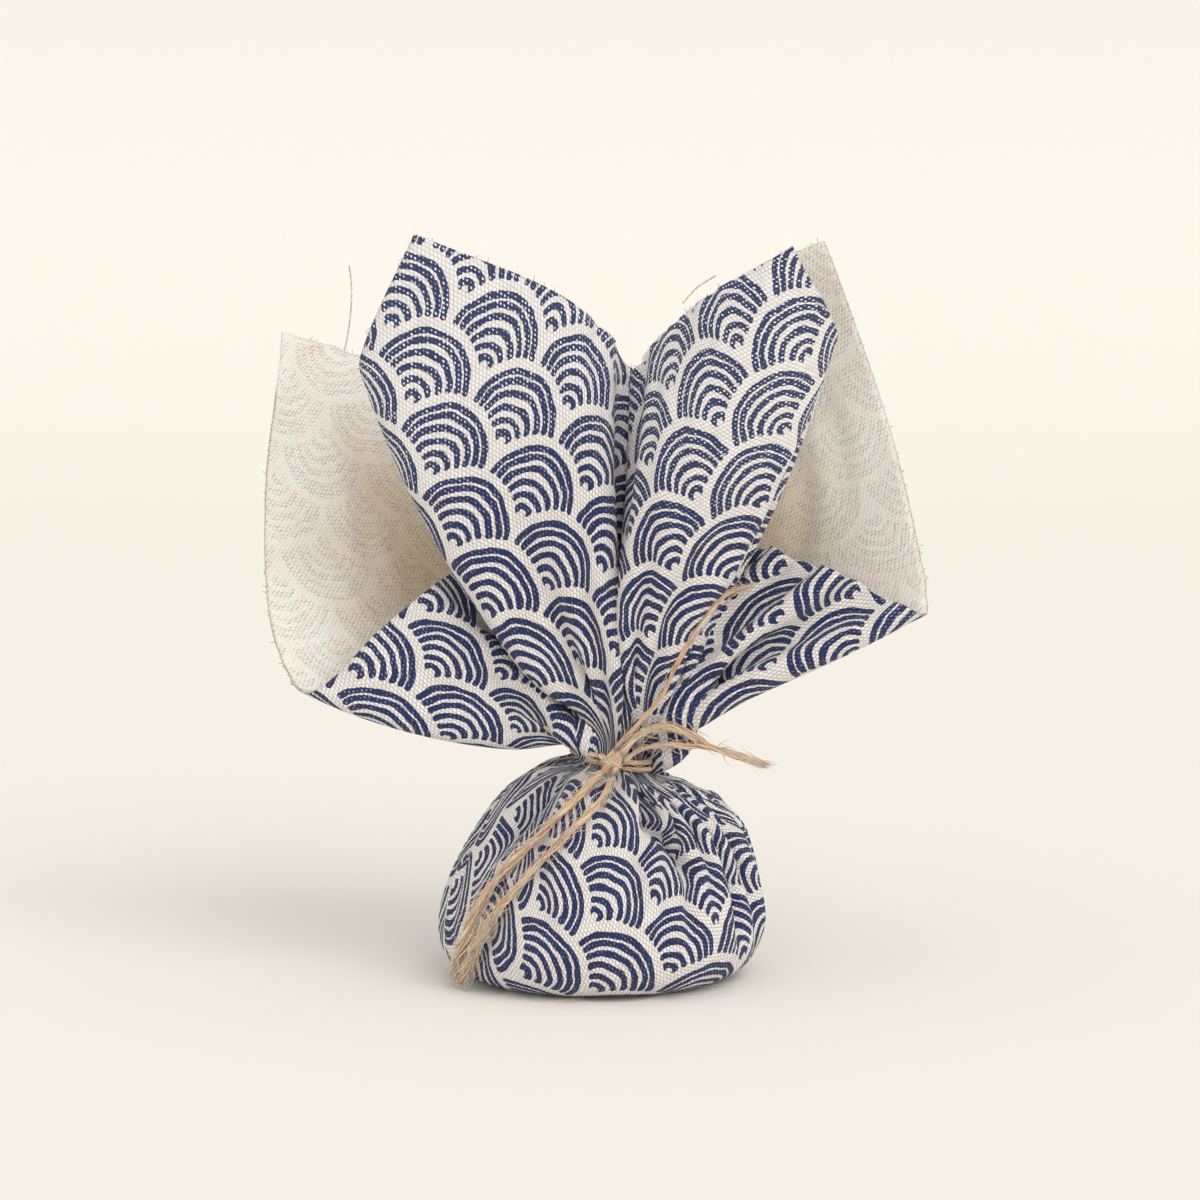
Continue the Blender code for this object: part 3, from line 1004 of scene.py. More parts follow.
@dataclass(frozen=True)
class Drape:
    """The gathered form: where each place of the flat cloth lies."""

    side: float = SIDE
    thickness: float = 1.0
    neck_reach: float = 101.0
    neck_centre: tuple[float, float, float] = NECK
    neck_tilt: float = NECK_TILT
    neck_rise: float = 5.2
    neck_bend: float = 2.0
    pouch_twist: float = 42.0
    pleat_fade: float = 42.0
    bow_start: float = 26.0
    gather_start: float = 40.0
    pleat_start: float = 66.0
    tilt_start: float = 70.0
    crease_ends: tuple[float, float] = (3.0, 2.5)

    def edge_reach(self, angle: np.ndarray) -> np.ndarray:
        """How far the cut edge of the square is from its middle."""
        turn = np.radians(angle)
        return 0.5 * self.side / np.maximum(abs(np.cos(turn)), abs(np.sin(turn)))

    def neck_pleats(self, angle: np.ndarray) -> tuple[np.ndarray, np.ndarray]:
        """How the cloth lies inside the tie.

        Args:
            angle: the direction on the flat cloth, in degrees from the front edge's.

        Returns:
            Its turn round the neck, in degrees, and its radius there.
        """
        at = [pleat.angle for pleat in PLEATS]
        twist = curve_through(at, [pleat.turn - pleat.angle for pleat in PLEATS], angle, 360)
        return angle + twist, curve_through(at, [pleat.radius for pleat in PLEATS], angle, 360)

    def profile(self, sizes: Sequence[float], reach: np.ndarray) -> np.ndarray:
        """The outline's radii or heights at any reach."""
        return curve_through([row.reach for row in PROFILE], sizes, reach)

    def crease_depth(self, turn: np.ndarray, reach: np.ndarray) -> np.ndarray:
        """How far the pouch is pressed in.

        Args:
            turn: the turn round the pouch, in degrees.
            reach: how far the place is from the cloth's middle.

        Returns:
            The depth of the creases there.
        """
        pressed = np.zeros_like(turn)
        for crease in CREASES:
            along = (crease.top_reach - reach) / (crease.top_reach - crease.foot_reach)
            middle = crease.top_turn + np.clip(along, 0, 1) * (crease.foot_turn - crease.top_turn)
            radius = self.profile([row.radius for row in PROFILE], reach)
            aside = np.radians((turn - middle + 180) % 360 - 180) * radius / crease.width
            ends = smooth(along * self.crease_ends[0]) * smooth((1.0 - along) * self.crease_ends[1])
            pressed = pressed + crease.depth * np.exp(-aside * aside) * ends
        return pressed

    def pouch_point(self, angle: np.ndarray, reach: np.ndarray) -> np.ndarray:
        """The pouch, from the flat base to the tie.

        Args:
            angle: the direction on the flat cloth, in degrees from the front edge's.
            reach: how far the place is from the cloth's middle.

        Returns:
            The points, in millimetres.
        """
        radius = self.profile([row.radius for row in PROFILE], reach)
        height = self.profile([row.height for row in PROFILE], reach)
        turn, neck_radius = self.neck_pleats(angle)
        gathered = smooth((reach - self.gather_start) / (self.neck_reach - self.gather_start))
        turn = gathered * turn + (1 - gathered) * (angle + self.pouch_twist)
        nearing = smooth((reach - self.pleat_start) / (self.neck_reach - self.pleat_start))
        pleat = (PROFILE[-1].radius - neck_radius) * nearing
        radius = radius - pleat - self.crease_depth(turn, reach)
        centre = np.array([self.neck_centre[0], self.neck_centre[1], 0.0])
        centre = centre * smooth(height / self.neck_centre[2])[..., None]
        height = height + 0.5 * self.thickness * (1 - gathered)
        tilt = self.neck_tilt * smooth((reach - self.tilt_start) / (self.neck_reach - self.tilt_start))
        return centre + radius[..., None] * round_axis(turn, tilt) + height[..., None] * UP

    def upright_share(self, out: np.ndarray) -> np.ndarray:
        """How much of the cloth above the tie goes straight up before it leans out.

        Args:
            out: the length of cloth from the tie.

        Returns:
            The part of it that stands upright.
        """
        past = out - self.neck_rise
        start = 0.5 * (np.hypot(self.neck_rise, self.neck_bend) - self.neck_rise)
        return out - 0.5 * (past + np.hypot(past, self.neck_bend)) + start

    def flare_point(self, angle: np.ndarray, reach: np.ndarray) -> np.ndarray:
        """The flare, from the tie to the cut edge.

        Args:
            angle: the direction on the flat cloth, in degrees from the front edge's.
            reach: how far the place is from the cloth's middle.

        Returns:
            The points, in millimetres.
        """
        turn, neck_radius = self.neck_pleats(angle)
        at = np.array([rib.angle for rib in RIBS])
        lengths = self.edge_reach(at) - self.neck_reach
        upright = self.upright_share(lengths)
        run = np.array([rib.end for rib in RIBS]) - self.neck_centre - upright[:, None] * UP
        heading = curve_through(at, run / (lengths - upright)[:, None], angle, 360)
        bow = curve_through(at, [rib.bow for rib in RIBS], angle, 360)
        out = reach - self.neck_reach
        upright = self.upright_share(out)
        share = out / (self.edge_reach(angle) - self.neck_reach)
        held = neck_radius * (1 - smooth(out / self.pleat_fade))
        return (
            np.array(self.neck_centre)
            + held[..., None] * round_axis(turn, self.neck_tilt)
            + heading * (out - upright)[..., None]
            + upright[..., None] * UP
            + bow * (4 * share * (1 - share) * smooth(out / self.bow_start))[..., None]
        )

    def point(self, across: np.ndarray, along: np.ndarray) -> np.ndarray:
        """Where a place on the flat cloth lies.

        Args:
            across: its flat coordinate towards the right.
            along: its flat coordinate towards the front edge.

        Returns:
            The points, in millimetres.
        """
        angle, reach = np.degrees(np.arctan2(across, along)), np.hypot(across, along)
        below = self.pouch_point(angle, np.minimum(reach, self.neck_reach))
        above = self.flare_point(angle, np.maximum(reach, self.neck_reach))
        return np.where((reach < self.neck_reach)[..., None], below, above)


@dataclass
class Settling:
    """Lets the sheet take up its true flat lengths again, so that the gathered width goes into folds.

    base, below_tie and above_tie are each a reach where the cloth is held and the length over which it comes
    free. weave and stiff are the steps in the grid that pull, each with its strength.
    """

    drape: Drape
    cells: int = 160
    rounds: int = 240
    bend: float = 0.25
    full_width: float = 3.5
    soften: int = 2
    seed: int = 7
    held: float = 0.15
    base: tuple[float, float] = (30.0, 22.0)
    below_tie: tuple[float, float] = (98.5, 9.0)
    above_tie: tuple[float, float] = (104.5, 14.0)
    hem_start: float = 110.0
    sways: tuple[tuple[float, int, float], ...] = ((1.8, 3, 0.7), (1.1, 7, 2.1), (0.8, 13, 0.0))
    ripples: int = 19
    ripple: float = 0.3
    most_ripple: float = 4.0
    uneven: float = 0.2
    weave: tuple = (((1, 0), 0.9), ((0, 1), 0.9), ((1, 1), 0.4), ((1, -1), 0.4))
    stiff: tuple = (((2, 0), 1.0), ((0, 2), 1.0), ((4, 0), 0.3), ((0, 4), 0.3))
    twine_gap: float = 0.15
    twine_near: float = 12.0

    def freedom(self, across: np.ndarray, along: np.ndarray) -> np.ndarray:
        """How far each point may leave the drape.

        Args:
            across: the flat coordinate towards the right.
            along: the flat coordinate towards the front edge.

        Returns:
            The distances, in millimetres.
        """
        angle, reach = np.degrees(np.arctan2(across, along)), np.hypot(across, along)
        at = [spread.angle for spread in FREEDOMS]
        pouch = curve_through(at, [spread.pouch for spread in FREEDOMS], angle, 360)
        flare = curve_through(at, [spread.flare for spread in FREEDOMS], angle, 360)
        hem = curve_through(at, [spread.hem for spread in FREEDOMS], angle, 360)
        share = smooth((reach - self.hem_start) / (self.drape.edge_reach(angle) - self.hem_start))
        off_base = smooth((reach - self.base[0]) / self.base[1])
        below = self.held + pouch * off_base * smooth((self.below_tie[0] - reach) / self.below_tie[1])
        off_tie = smooth((reach - self.above_tie[0]) / self.above_tie[1])
        above = self.held + (flare + share * (hem - flare)) * off_tie
        return np.where(reach < self.drape.neck_reach, below, above)

    def nudged(self, across: np.ndarray, along: np.ndarray) -> np.ndarray:
        """How far the soft pushes move each point.

        Args:
            across: the flat coordinate towards the right.
            along: the flat coordinate towards the front edge.

        Returns:
            The moves, in millimetres.
        """
        angle, reach = np.degrees(np.arctan2(across, along)), np.hypot(across, along)
        moved = np.zeros((*across.shape, 3))
        for nudge in NUDGES:
            aside = ((angle - nudge.angle + 180) % 360 - 180) / nudge.spread
            along_it = (reach - nudge.reach) / nudge.length
            moved += np.exp(-aside * aside - along_it * along_it)[..., None] * nudge.move
        return moved

    def pairs(self, step: tuple[int, int], home: np.ndarray, free: np.ndarray) -> list[tuple]:
        """The pairs of points that are a step apart, as two sets in which no point comes twice.

        Args:
            step: how far apart in the grid the two points of a pair are.
            home: the sheet's points before they settle.
            free: how far each may move.

        Returns:
            For each set: the first points, the second ones, and the distance that they settle to: the one
            on the flat cloth where they are free to move, and the one they have where they are not.
        """
        down, right = step
        rows = len(home)
        flat = self.drape.side / self.cells * math.hypot(down, right)
        sets = []
        for turn in (0, 1):
            if down:
                first = np.array([i for i in range(rows - down) if (i // down) % 2 == turn])
                one = (first[:, None], np.arange(max(0, -right), rows - max(0, right))[None, :])
            else:
                columns = np.array([j for j in range(rows - right) if (j // right) % 2 == turn])
                one = (np.arange(rows)[:, None], columns[None, :])
            two = (one[0] + down, one[1] + right)
            held = np.linalg.norm(home[two] - home[one], axis=-1)
            share = smooth(0.5 * (free[one] + free[two]) / self.full_width)
            sets.append((one, two, held + share * (flat - held)))
        return sets

    def pull(self, points: np.ndarray, sets: Sequence[tuple], share: float, only_push: bool) -> None:
        """Moves pairs of points towards their true distance, in place.

        Args:
            points: the sheet's points.
            sets: the pairs.
            share: how much of the difference is taken up.
            only_push: whether only pairs that are too near move.
        """
        for one, two, length in sets:
            apart = points[two] - points[one]
            far = np.maximum(np.linalg.norm(apart, axis=-1), 1e-6)
            miss = (far - length) / far
            if only_push:
                miss = np.minimum(miss, 0.0)
            move = apart * (0.5 * share * miss)[..., None]
            points[one] += move
            points[two] -= move

    def settled(self) -> np.ndarray:
        """Settles the coarse sheet.

        Returns:
            Its points, in millimetres.
        """
        steps = (np.arange(self.cells + 1) / self.cells - 0.5) * self.drape.side
        across, along = np.meshgrid(steps, steps, indexing="ij")
        home = self.drape.point(across, along) + self.nudged(across, along)
        free = self.freedom(across, along)
        normal = np.cross(np.gradient(home, axis=0), np.gradient(home, axis=1))
        normal /= np.maximum(np.linalg.norm(normal, axis=-1), 1e-9)[..., None]
        angle = np.arctan2(across, along)
        sway = sum(size * np.sin(count * angle + shift) for size, count, shift in self.sways)
        chance = np.random.default_rng(self.seed).normal(0, 1, angle.shape)
        start = np.sin(self.ripples * angle + sway) + self.uneven * chance
        points = home + normal * (self.ripple * np.minimum(free, self.most_ripple) * start)[..., None]
        pulls = [(self.pairs(step, home, free), share, False) for step, share in self.weave]
        pulls += [(self.pairs(step, home, free), share * self.bend, True) for step, share in self.stiff]
        cords = self.cords(home)
        for _ in range(self.rounds):
            for sets, share, only_push in pulls:
                self.pull(points, sets, share, only_push)
            off = points - home
            far = np.maximum(np.linalg.norm(off, axis=-1), 1e-9)
            points = home + off * np.minimum(1.0, free / far)[..., None]
            points[..., 2] = np.maximum(points[..., 2], 0.5 * self.drape.thickness)
            self.press(points, cords)
        return self.softened(points)

    def softened(self, points: np.ndarray) -> np.ndarray:
        """Rounds off the sharpest folds a little.

        Args:
            points: the sheet's points.

        Returns:
            The softened points.
        """
        for _ in range(self.soften):
            inner = points[1:-1, 1:-1]
            around = points[2:, 1:-1] + points[:-2, 1:-1] + points[1:-1, 2:] + points[1:-1, :-2]
            points = points.copy()
            points[1:-1, 1:-1] = 0.5 * inner + 0.125 * around
        return points

    def cords(self, home: np.ndarray) -> list[tuple[np.ndarray, tuple, float]]:
        """Each length of twine with the points of the sheet that are near it.

        Args:
            home: the sheet's points before they settle.

        Returns:
            For each: its points, the indices of the near points, and the clear distance between them.
        """
        found = []
        for name, route in TWINE_ROUTES.items():
            path = even_path(route, 1.0)
            gap = 0.5 * (TWINE_THICKNESS[name] + self.drape.thickness) + self.twine_gap
            lowest, highest = path.min(axis=0) - self.twine_near, path.max(axis=0) + self.twine_near
            near = np.argwhere(((home > lowest) & (home < highest)).all(axis=-1))
            found.append((path, (near[:, 0], near[:, 1]), gap))
        return found

    def press(self, points: np.ndarray, cords: Sequence[tuple]) -> None:
        """Moves the points that are in the twine out of it, in place.

        Args:
            points: the sheet's points.
            cords: each length of twine, as cords() gives it.
        """
        for path, near, gap in cords:
            own = points[near]
            off = own[:, None] - path[None]
            far = np.linalg.norm(off, axis=-1)
            first = far.argmin(axis=1)
            index = np.arange(len(own))
            close = far[index, first]
            push = np.maximum(gap - close, 0.0) / np.maximum(close, 1e-6)
            points[near] = own + off[index, first] * push[:, None]

    def finer(self, cells: int) -> np.ndarray:
        """Gives the settled sheet more points, on smooth curves through the coarse ones.

        Args:
            cells: how many cells each side then has.

        Returns:
            The grid of points, in millimetres.
        """
        points = self.settled()
        old, new = np.arange(self.cells + 1) / self.cells, np.arange(cells + 1) / cells
        points = curve_through(old, points.reshape(len(old), -1), new).reshape(len(new), len(old), 3)
        points = points.transpose(1, 0, 2).reshape(len(old), -1)
        return curve_through(old, points, new).reshape(len(new), len(new), 3).transpose(1, 0, 2)


@dataclass
class Handkerchief:
    """The printed square, gathered into a pouch below the tie and flaring above it."""

    drape: Drape = field(default_factory=Drape)
    cells: int = 208
    thickness: float = 0.75
    give: float = 20.0
    stay: float = 0.05

    def hide_inside(self, cloth: bpy.types.Object) -> None:
        """Gives the inside of the closed pouch, which no one sees, the printed finish too.

        Args:
            cloth: the cloth.
        """
        layer = cloth.data.uv_layers["flat"].data
        uv = np.empty(2 * len(layer), np.float32)
        layer.foreach_get("uv", uv)
        first = np.empty(len(cloth.data.polygons), np.int32)
        cloth.data.polygons.foreach_get("loop_start", first)
        face = np.empty(len(first), np.int32)
        cloth.data.polygons.foreach_get("material_index", face)
        reach = self.drape.side * np.hypot(*(uv.reshape(-1, 2)[first] - 0.5).T)
        face[(reach < self.drape.neck_reach) & (face == Face.PLAIN.value)] = Face.PRINTED.value
        cloth.data.polygons.foreach_set("material_index", face)

    def ease_print(self, cloth: bpy.types.Object) -> None:
        """Moves the print by a few millimetres on the cloth, as canvas gives a little when it is pulled.

        Args:
            cloth: the cloth.
        """
        layer = cloth.data.uv_layers["flat"].data
        uv = np.empty(2 * len(layer), np.float32)
        layer.foreach_get("uv", uv)
        flat = (uv.reshape(-1, 2) - 0.5) * self.drape.side
        total, moved = np.full(len(flat), self.stay), np.zeros(flat.shape)
        for across, along, right, up in np.array(EASINGS, dtype=float):
            apart = (flat[:, 0] - across) ** 2 + (flat[:, 1] - along) ** 2
            weight = np.exp(-apart / (2 * self.give**2))
            total += weight
            moved += np.outer(weight, (right, up))
        flat += moved / total[:, None]
        layer.foreach_set("uv", (flat / self.drape.side + 0.5).astype(np.float32).ravel())

    def build(self) -> bpy.types.Object:
        """Makes the cloth.

        Returns:
            The piece.
        """
        points = Settling(self.drape).finer(self.cells)
        side = self.cells + 1
        place = np.arange(side * side).reshape(side, side)
        quads = np.stack([place[:-1, :-1], place[1:, :-1], place[1:, 1:], place[:-1, 1:]], axis=-1)
        cloth = mesh_piece("handkerchief", points.reshape(-1, 3), quads.reshape(-1, 4).tolist())
        flat = cloth.data.uv_layers.new(name="flat")
        corner = np.empty(len(cloth.data.loops), np.int32)
        cloth.data.loops.foreach_get("vertex_index", corner)
        uv = np.stack([corner // side, corner % side], axis=-1) / self.cells
        flat.data.foreach_set("uv", uv.astype(np.float32).ravel())
        for face in (PrintedFace(), PlainFace(), CutEdge()):
            cloth.data.materials.append(face.make())
        use_only(cloth)
        sheet = cloth.modifiers.new("thickness", "SOLIDIFY")
        sheet.thickness = self.thickness * MM
        sheet.offset = 0
        sheet.material_offset = Face.PLAIN.value
        sheet.material_offset_rim = Face.EDGE.value
        bpy.ops.object.modifier_apply(modifier=sheet.name)
        self.hide_inside(cloth)
        self.ease_print(cloth)
        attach(cloth, "root")
        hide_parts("cloth")
        LOG.info("handkerchief: %d faces", len(cloth.data.polygons))
        CutThreads().build(points)
        return cloth


# ---------------------------------------------------------------- the twine


class Fibres(NamedTuple):
    """Some fibres as one mesh: points, faces and the place of each point along and among them."""

    points: np.ndarray
    faces: list
    places: np.ndarray


@dataclass
class Spinner:
    """Spins loose jute twine from single fibre bundles and stray hairs."""

    seed: int
    lay: float = 30.0  # length of twine in which a bundle goes once round
    step: float = 0.8
    sides: int = 5
    packing: float = 0.92  # share of the strand's width that its bundles fill
    overlap: float = 1.12
    bundle_turn: float = 2.4  # radians from one bundle to the next
    stray_out: tuple[float, int] = (0.25, 9)  # how much a bundle wanders, and over how many points
    stray_round: tuple[float, int] = (0.35, 12)
    stray_thick: tuple[float, int] = (0.16, 5)
    hair_radius: float = 0.12
    hair_points: int = 7
    hair_run: tuple[float, float, float] = (2.5, 5.0, 1.4)  # shortest, longest, and more of it by reach
    hair_ahead: float = 0.7  # share of the hairs that point along the twine
    hair_floor: float = 0.3

    def __post_init__(self) -> None:
        """Starts the chance numbers and an empty skein."""
        self.chance = np.random.default_rng(self.seed)
        self.skein: list[Fibres] = []

    def frames(self, path: np.ndarray) -> tuple[np.ndarray, np.ndarray, np.ndarray]:
        """Directions along a path that turn as little as they can.

        Args:
            path: the path's points.

        Returns:
            At each point, the way ahead and two directions square to it.
        """
        ahead = np.gradient(path, axis=0)
        ahead /= np.linalg.norm(ahead, axis=1)[:, None]
        side = np.cross(ahead[0], UP if abs(ahead[0][2]) < 0.9 else [1.0, 0, 0])
        sides = []
        for way in ahead:
            side = side - way * (side @ way)
            side = side / np.linalg.norm(side)
            sides.append(side)
        sides = np.array(sides)
        return ahead, sides, np.cross(ahead, sides)

    def tube(self, path: np.ndarray, radius: np.ndarray, sides: int, tone: float) -> None:
        """Adds a closed tube along a path to the skein.

        Args:
            path: its middle line.
            radius: its radius at each point.
            sides: how many sides it has.
            tone: where its colour is taken from, below 0 for a stray hair.
        """
        _, first, second = self.frames(path)
        turn = np.arange(sides) / sides * 2 * math.pi
        across, up = np.cos(turn)[None, :, None], np.sin(turn)[None, :, None]
        ring = across * first[:, None] + up * second[:, None]
        points = path[:, None] + ring * radius[:, None, None]
        count = len(path)
        faces = [tuple(range(sides))[::-1], tuple((count - 1) * sides + k for k in range(sides))]
        for i in range(count - 1):
            for k in range(sides):
                j = (k + 1) % sides
                faces.append((i * sides + k, i * sides + j, (i + 1) * sides + j, (i + 1) * sides + k))
        run = np.concatenate([[0.0], np.linalg.norm(np.diff(path, axis=0), axis=1).cumsum()])
        places = np.stack(np.broadcast_arrays(run[:, None], turn[None, :] / 2 / math.pi + tone), axis=-1)
        self.skein.append(Fibres(points.reshape(-1, 3), faces, places.reshape(-1, 2)))

    def wander(self, count: int, stray: tuple[float, int]) -> np.ndarray:
        """A smooth chance curve about 0.

        Args:
            count: how many values are wanted.
            stray: how far it strays, and over how many values.

        Returns:
            The values.
        """
        size, every = stray
        knots = self.chance.normal(0, 1, count // every + 3)
        places = np.arange(count) + 0.5 * every
        return size * curve_through(np.arange(len(knots)) * float(every), knots, places)

    def strand(
        self,
        path: np.ndarray,
        thickness: float,
        fibres: int,
        spread: "np.ndarray | float" = 1.0,
        girth: "np.ndarray | float" = 1.0,
        ragged: float = 0.0,
    ) -> None:
        """Adds a loosely twisted strand to the skein.

        Args:
            path: its middle line, in even steps.
            thickness: how thick it is.
            fibres: how many fibre bundles it has.
            spread: how far it has opened at each point of the path, 1 where it is tight.
            girth: how thick it is there, 1 where it is full.
            ragged: by how much its fibres differ in length at the end, in millimetres.
        """
        _, first, second = self.frames(path)
        run = np.arange(len(path)) * self.step
        thin = 0.5 * thickness * self.packing / math.sqrt(fibres)
        for k in range(fibres):
            out = (0.5 * thickness - thin) * math.sqrt((k + 0.35) / fibres) * spread * girth
            out = out * (1 + self.wander(len(path), self.stray_out))
            turn = self.bundle_turn * k + 2 * math.pi * run / self.lay
            turn = turn + self.wander(len(path), self.stray_round)
            line = path + (out * np.cos(turn))[:, None] * first + (out * np.sin(turn))[:, None] * second
            uneven = (1 + self.wander(len(path), self.stray_thick)).clip(0.6, 1.5)
            radius = thin * self.overlap * girth * uneven
            keep = len(path) - (int(self.chance.uniform(0, ragged) / self.step) if k > 1 else 0)
            radius[:2] *= (0.5, 0.8)
            radius[keep - 3:keep] *= (0.85, 0.6, 0.3)
            self.tube(line[:keep], radius[:keep], self.sides, self.chance.uniform(1, 50))

    def hairs(self, path: np.ndarray, thickness: float, count: int, reach: float, where: np.ndarray) -> None:
        """Adds stray hairs that leave a strand and curl away.

        Args:
            path: the strand's middle line, in even steps.
            thickness: how thick the strand is.
            count: how many hairs there are.
            reach: how far the hairs stand off at most.
            where: how likely a hair is at each point of the path.
        """
        ahead = self.frames(path)[0]
        past = self.step * np.arange(1, 3)[:, None]
        line = np.concatenate([path[0] - ahead[0] * past[::-1], path, path[-1] + ahead[-1] * past])
        _, first, second = self.frames(line)
        shortest, longest, by_reach = self.hair_run
        t = np.linspace(0, 1, self.hair_points)
        for start in self.chance.choice(len(path), count, p=where / where.sum()) + 2:
            turn = self.chance.uniform(0, 2 * math.pi) + t * self.chance.normal(0, 1)
            run = self.chance.uniform(shortest, longest + by_reach * reach) / self.step
            run *= 1 if self.chance.uniform() < self.hair_ahead else -1
            if not 0 <= start + run < len(line):
                run = -run
            at = start + run * t
            off = self.chance.uniform(0.25, 1.0) * reach * t**1.3 * (1 - 0.2 * np.sin(9 * t))
            off = off + 0.35 * thickness
            middle, right, up = (
                np.array([np.interp(at, np.arange(len(line)), axis) for axis in way.T]).T
                for way in (line, first, second)
            )
            hair = middle + (off * np.cos(turn))[:, None] * right + (off * np.sin(turn))[:, None] * up
            hair[:, 2] = np.maximum(hair[:, 2], self.hair_floor)
            self.tube(hair, self.hair_radius * (1.2 - t), 3, -2.0)

    def piece(self, name: str, finish: bpy.types.Material, slot: str = "twine") -> bpy.types.Object:
        """Makes one piece of the skein and starts an empty one.

        Args:
            name: what the piece is called.
            finish: its material.
            slot: what it is made of; not used.

        Returns:
            The piece.
        """
        faces, count = [], 0
        for part in self.skein:
            faces += [tuple(i + count for i in face) for face in part.faces]
            count += len(part.points)
        made = mesh_piece(name, np.concatenate([part.points for part in self.skein]), faces)
        places = np.concatenate([part.places for part in self.skein])
        layer = made.data.uv_layers.new(name="ply")
        corner = np.empty(len(made.data.loops), np.int32)
        made.data.loops.foreach_get("vertex_index", corner)
        layer.data.foreach_set("uv", places[corner].astype(np.float32).ravel())
        made.data.materials.append(finish)
        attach(made, "root")
        self.skein = []
        LOG.info("%s: %d faces", name, len(faces))
        return made


@dataclass
class TwineTie:
    """Jute twine, wound twice round the neck and knotted in front, with a loop and two loose ends."""

    turn_radius: float = 10.95
    turn_heights: tuple[float, float] = (54.8, 56.6)
    turn_seeds: tuple[int, int] = (31, 37)
    turn_fibres: int = 7
    turn_hairs: tuple[int, float] = (16, 1.2)  # how many, and how far they reach
    turn_gap: float = 15.0
    neck_centre: tuple[float, float, float] = NECK
    neck_tilt: float = NECK_TILT
    hug: float = 3.0  # how much closer the turns lie at the left
    hug_turn: float = 298.0
    hug_spread: float = 30.0
    long_reach: float = 4.6
    short_hairs: tuple[float, float] = (0.4, 2.0)  # how likely hairs are, and how much more where it opens
    long_hairs: tuple[float, float] = (0.5, 1.6)
    slim_back: tuple[float, float, float] = (0.75, 0.45, 0.1)  # share of slim, from where, over what length
    slim_bend: tuple[float, float] = (0.5, 0.05)  # where the loop turns back, and over what length
    knot_thickness: float = 1.7
    knot_seed: int = 23
    knot_fibres: int = 8
    knot_hairs: tuple[int, float] = (12, 1.8)
    finish: Optional[bpy.types.Material] = None

    def girth(self, share: np.ndarray, slim: float) -> np.ndarray:
        """How thick a length of twine is along its run.

        Args:
            share: the places, as shares of its length.
            slim: how much thinner it gets.

        Returns:
            1 where it is full, and less where it is thin.
        """
        size, start, length = self.slim_back
        bend, reach = self.slim_bend
        behind = size * smooth((share - start) / length)
        return 1 - slim * np.maximum(behind, np.exp(-(((share - bend) / reach) ** 2)))

    def cord(
        self, name: str
    ) -> bpy.types.Object:
        """A free length of twine along its route.

        Args:
            name: the node that it stands for.

        Returns:
            The piece.
        """
        row = next(row for row in STRANDS if row.name == name)
        spinner = Spinner(row.seed)
        path = even_path(TWINE_ROUTES[name], spinner.step)
        share = np.linspace(0, 1, len(path))
        opening = sum(np.exp(-(((share - at) / row.frayed_length) ** 2)) for at in row.frayed_at)
        spread, girth = 1 + (row.frayed - 1) * opening, self.girth(share, row.slim)
        spinner.strand(path, row.thickness, row.fibres, spread, girth, row.ragged)
        here, more = self.short_hairs
        spinner.hairs(path, row.thickness, row.hairs, row.hair_reach, here + more * opening)
        piece = spinner.piece(name + "_jute", self.finish)
        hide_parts(name)
        here, more = self.long_hairs
        spinner.hairs(path, row.thickness, row.long_hairs, self.long_reach, here + more * opening)
        spinner.piece(name + "_long_hairs", self.finish)
        return piece

    def turn(self, name: str, height: float, seed: int) -> bpy.types.Object:
        """One turn of twine round the neck, open where the knot sits.

        Args:
            name: the node that it stands for.
            height: the height of its middle.
            seed: the seed of its chance numbers.

        Returns:
            The piece.
        """
        spinner = Spinner(seed, step=1.0)
        centre = np.array([self.neck_centre[0], self.neck_centre[1], height])
        turns = np.linspace(self.turn_gap, 360 - self.turn_gap, 160)
        radius = self.turn_radius - self.hug * np.exp(-(((turns - self.hug_turn) / self.hug_spread) ** 2))
        path = even_path(centre + radius[:, None] * round_axis(turns, self.neck_tilt), spinner.step)
        spinner.strand(path, STRAND, self.turn_fibres)
        spinner.hairs(path, STRAND, *self.turn_hairs, np.ones(len(path)))
        piece = spinner.piece(name + "_jute", self.finish)
        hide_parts(name)
        return piece

    def knot(self) -> bpy.types.Object:
        """Ties the knot: short strands that cross over one another.

        Returns:
            The piece.
        """
        spinner = Spinner(self.knot_seed, step=0.6)
        for points in KNOT_STRANDS:
            path = even_path(points, spinner.step)
            spinner.strand(path, self.knot_thickness, self.knot_fibres)
            spinner.hairs(path, self.knot_thickness, *self.knot_hairs, np.ones(len(path)))
        piece = spinner.piece("twine_knot_jute", self.finish)
        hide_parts("twine_knot")
        return piece

    def build(self) -> None:
        """Makes all the twine."""
        self.finish = Jute().make()
        self.cord("twine_loop")
        self.cord("twine_tail_up")
        ply = self.cord("twine_ply_right")
        self.cord("twine_tail_right")
        names = ("twine_turn_lower", "twine_turn_upper")
        for name, height, seed in zip(names, self.turn_heights, self.turn_seeds):
            self.turn(name, height, seed)
        self.knot()


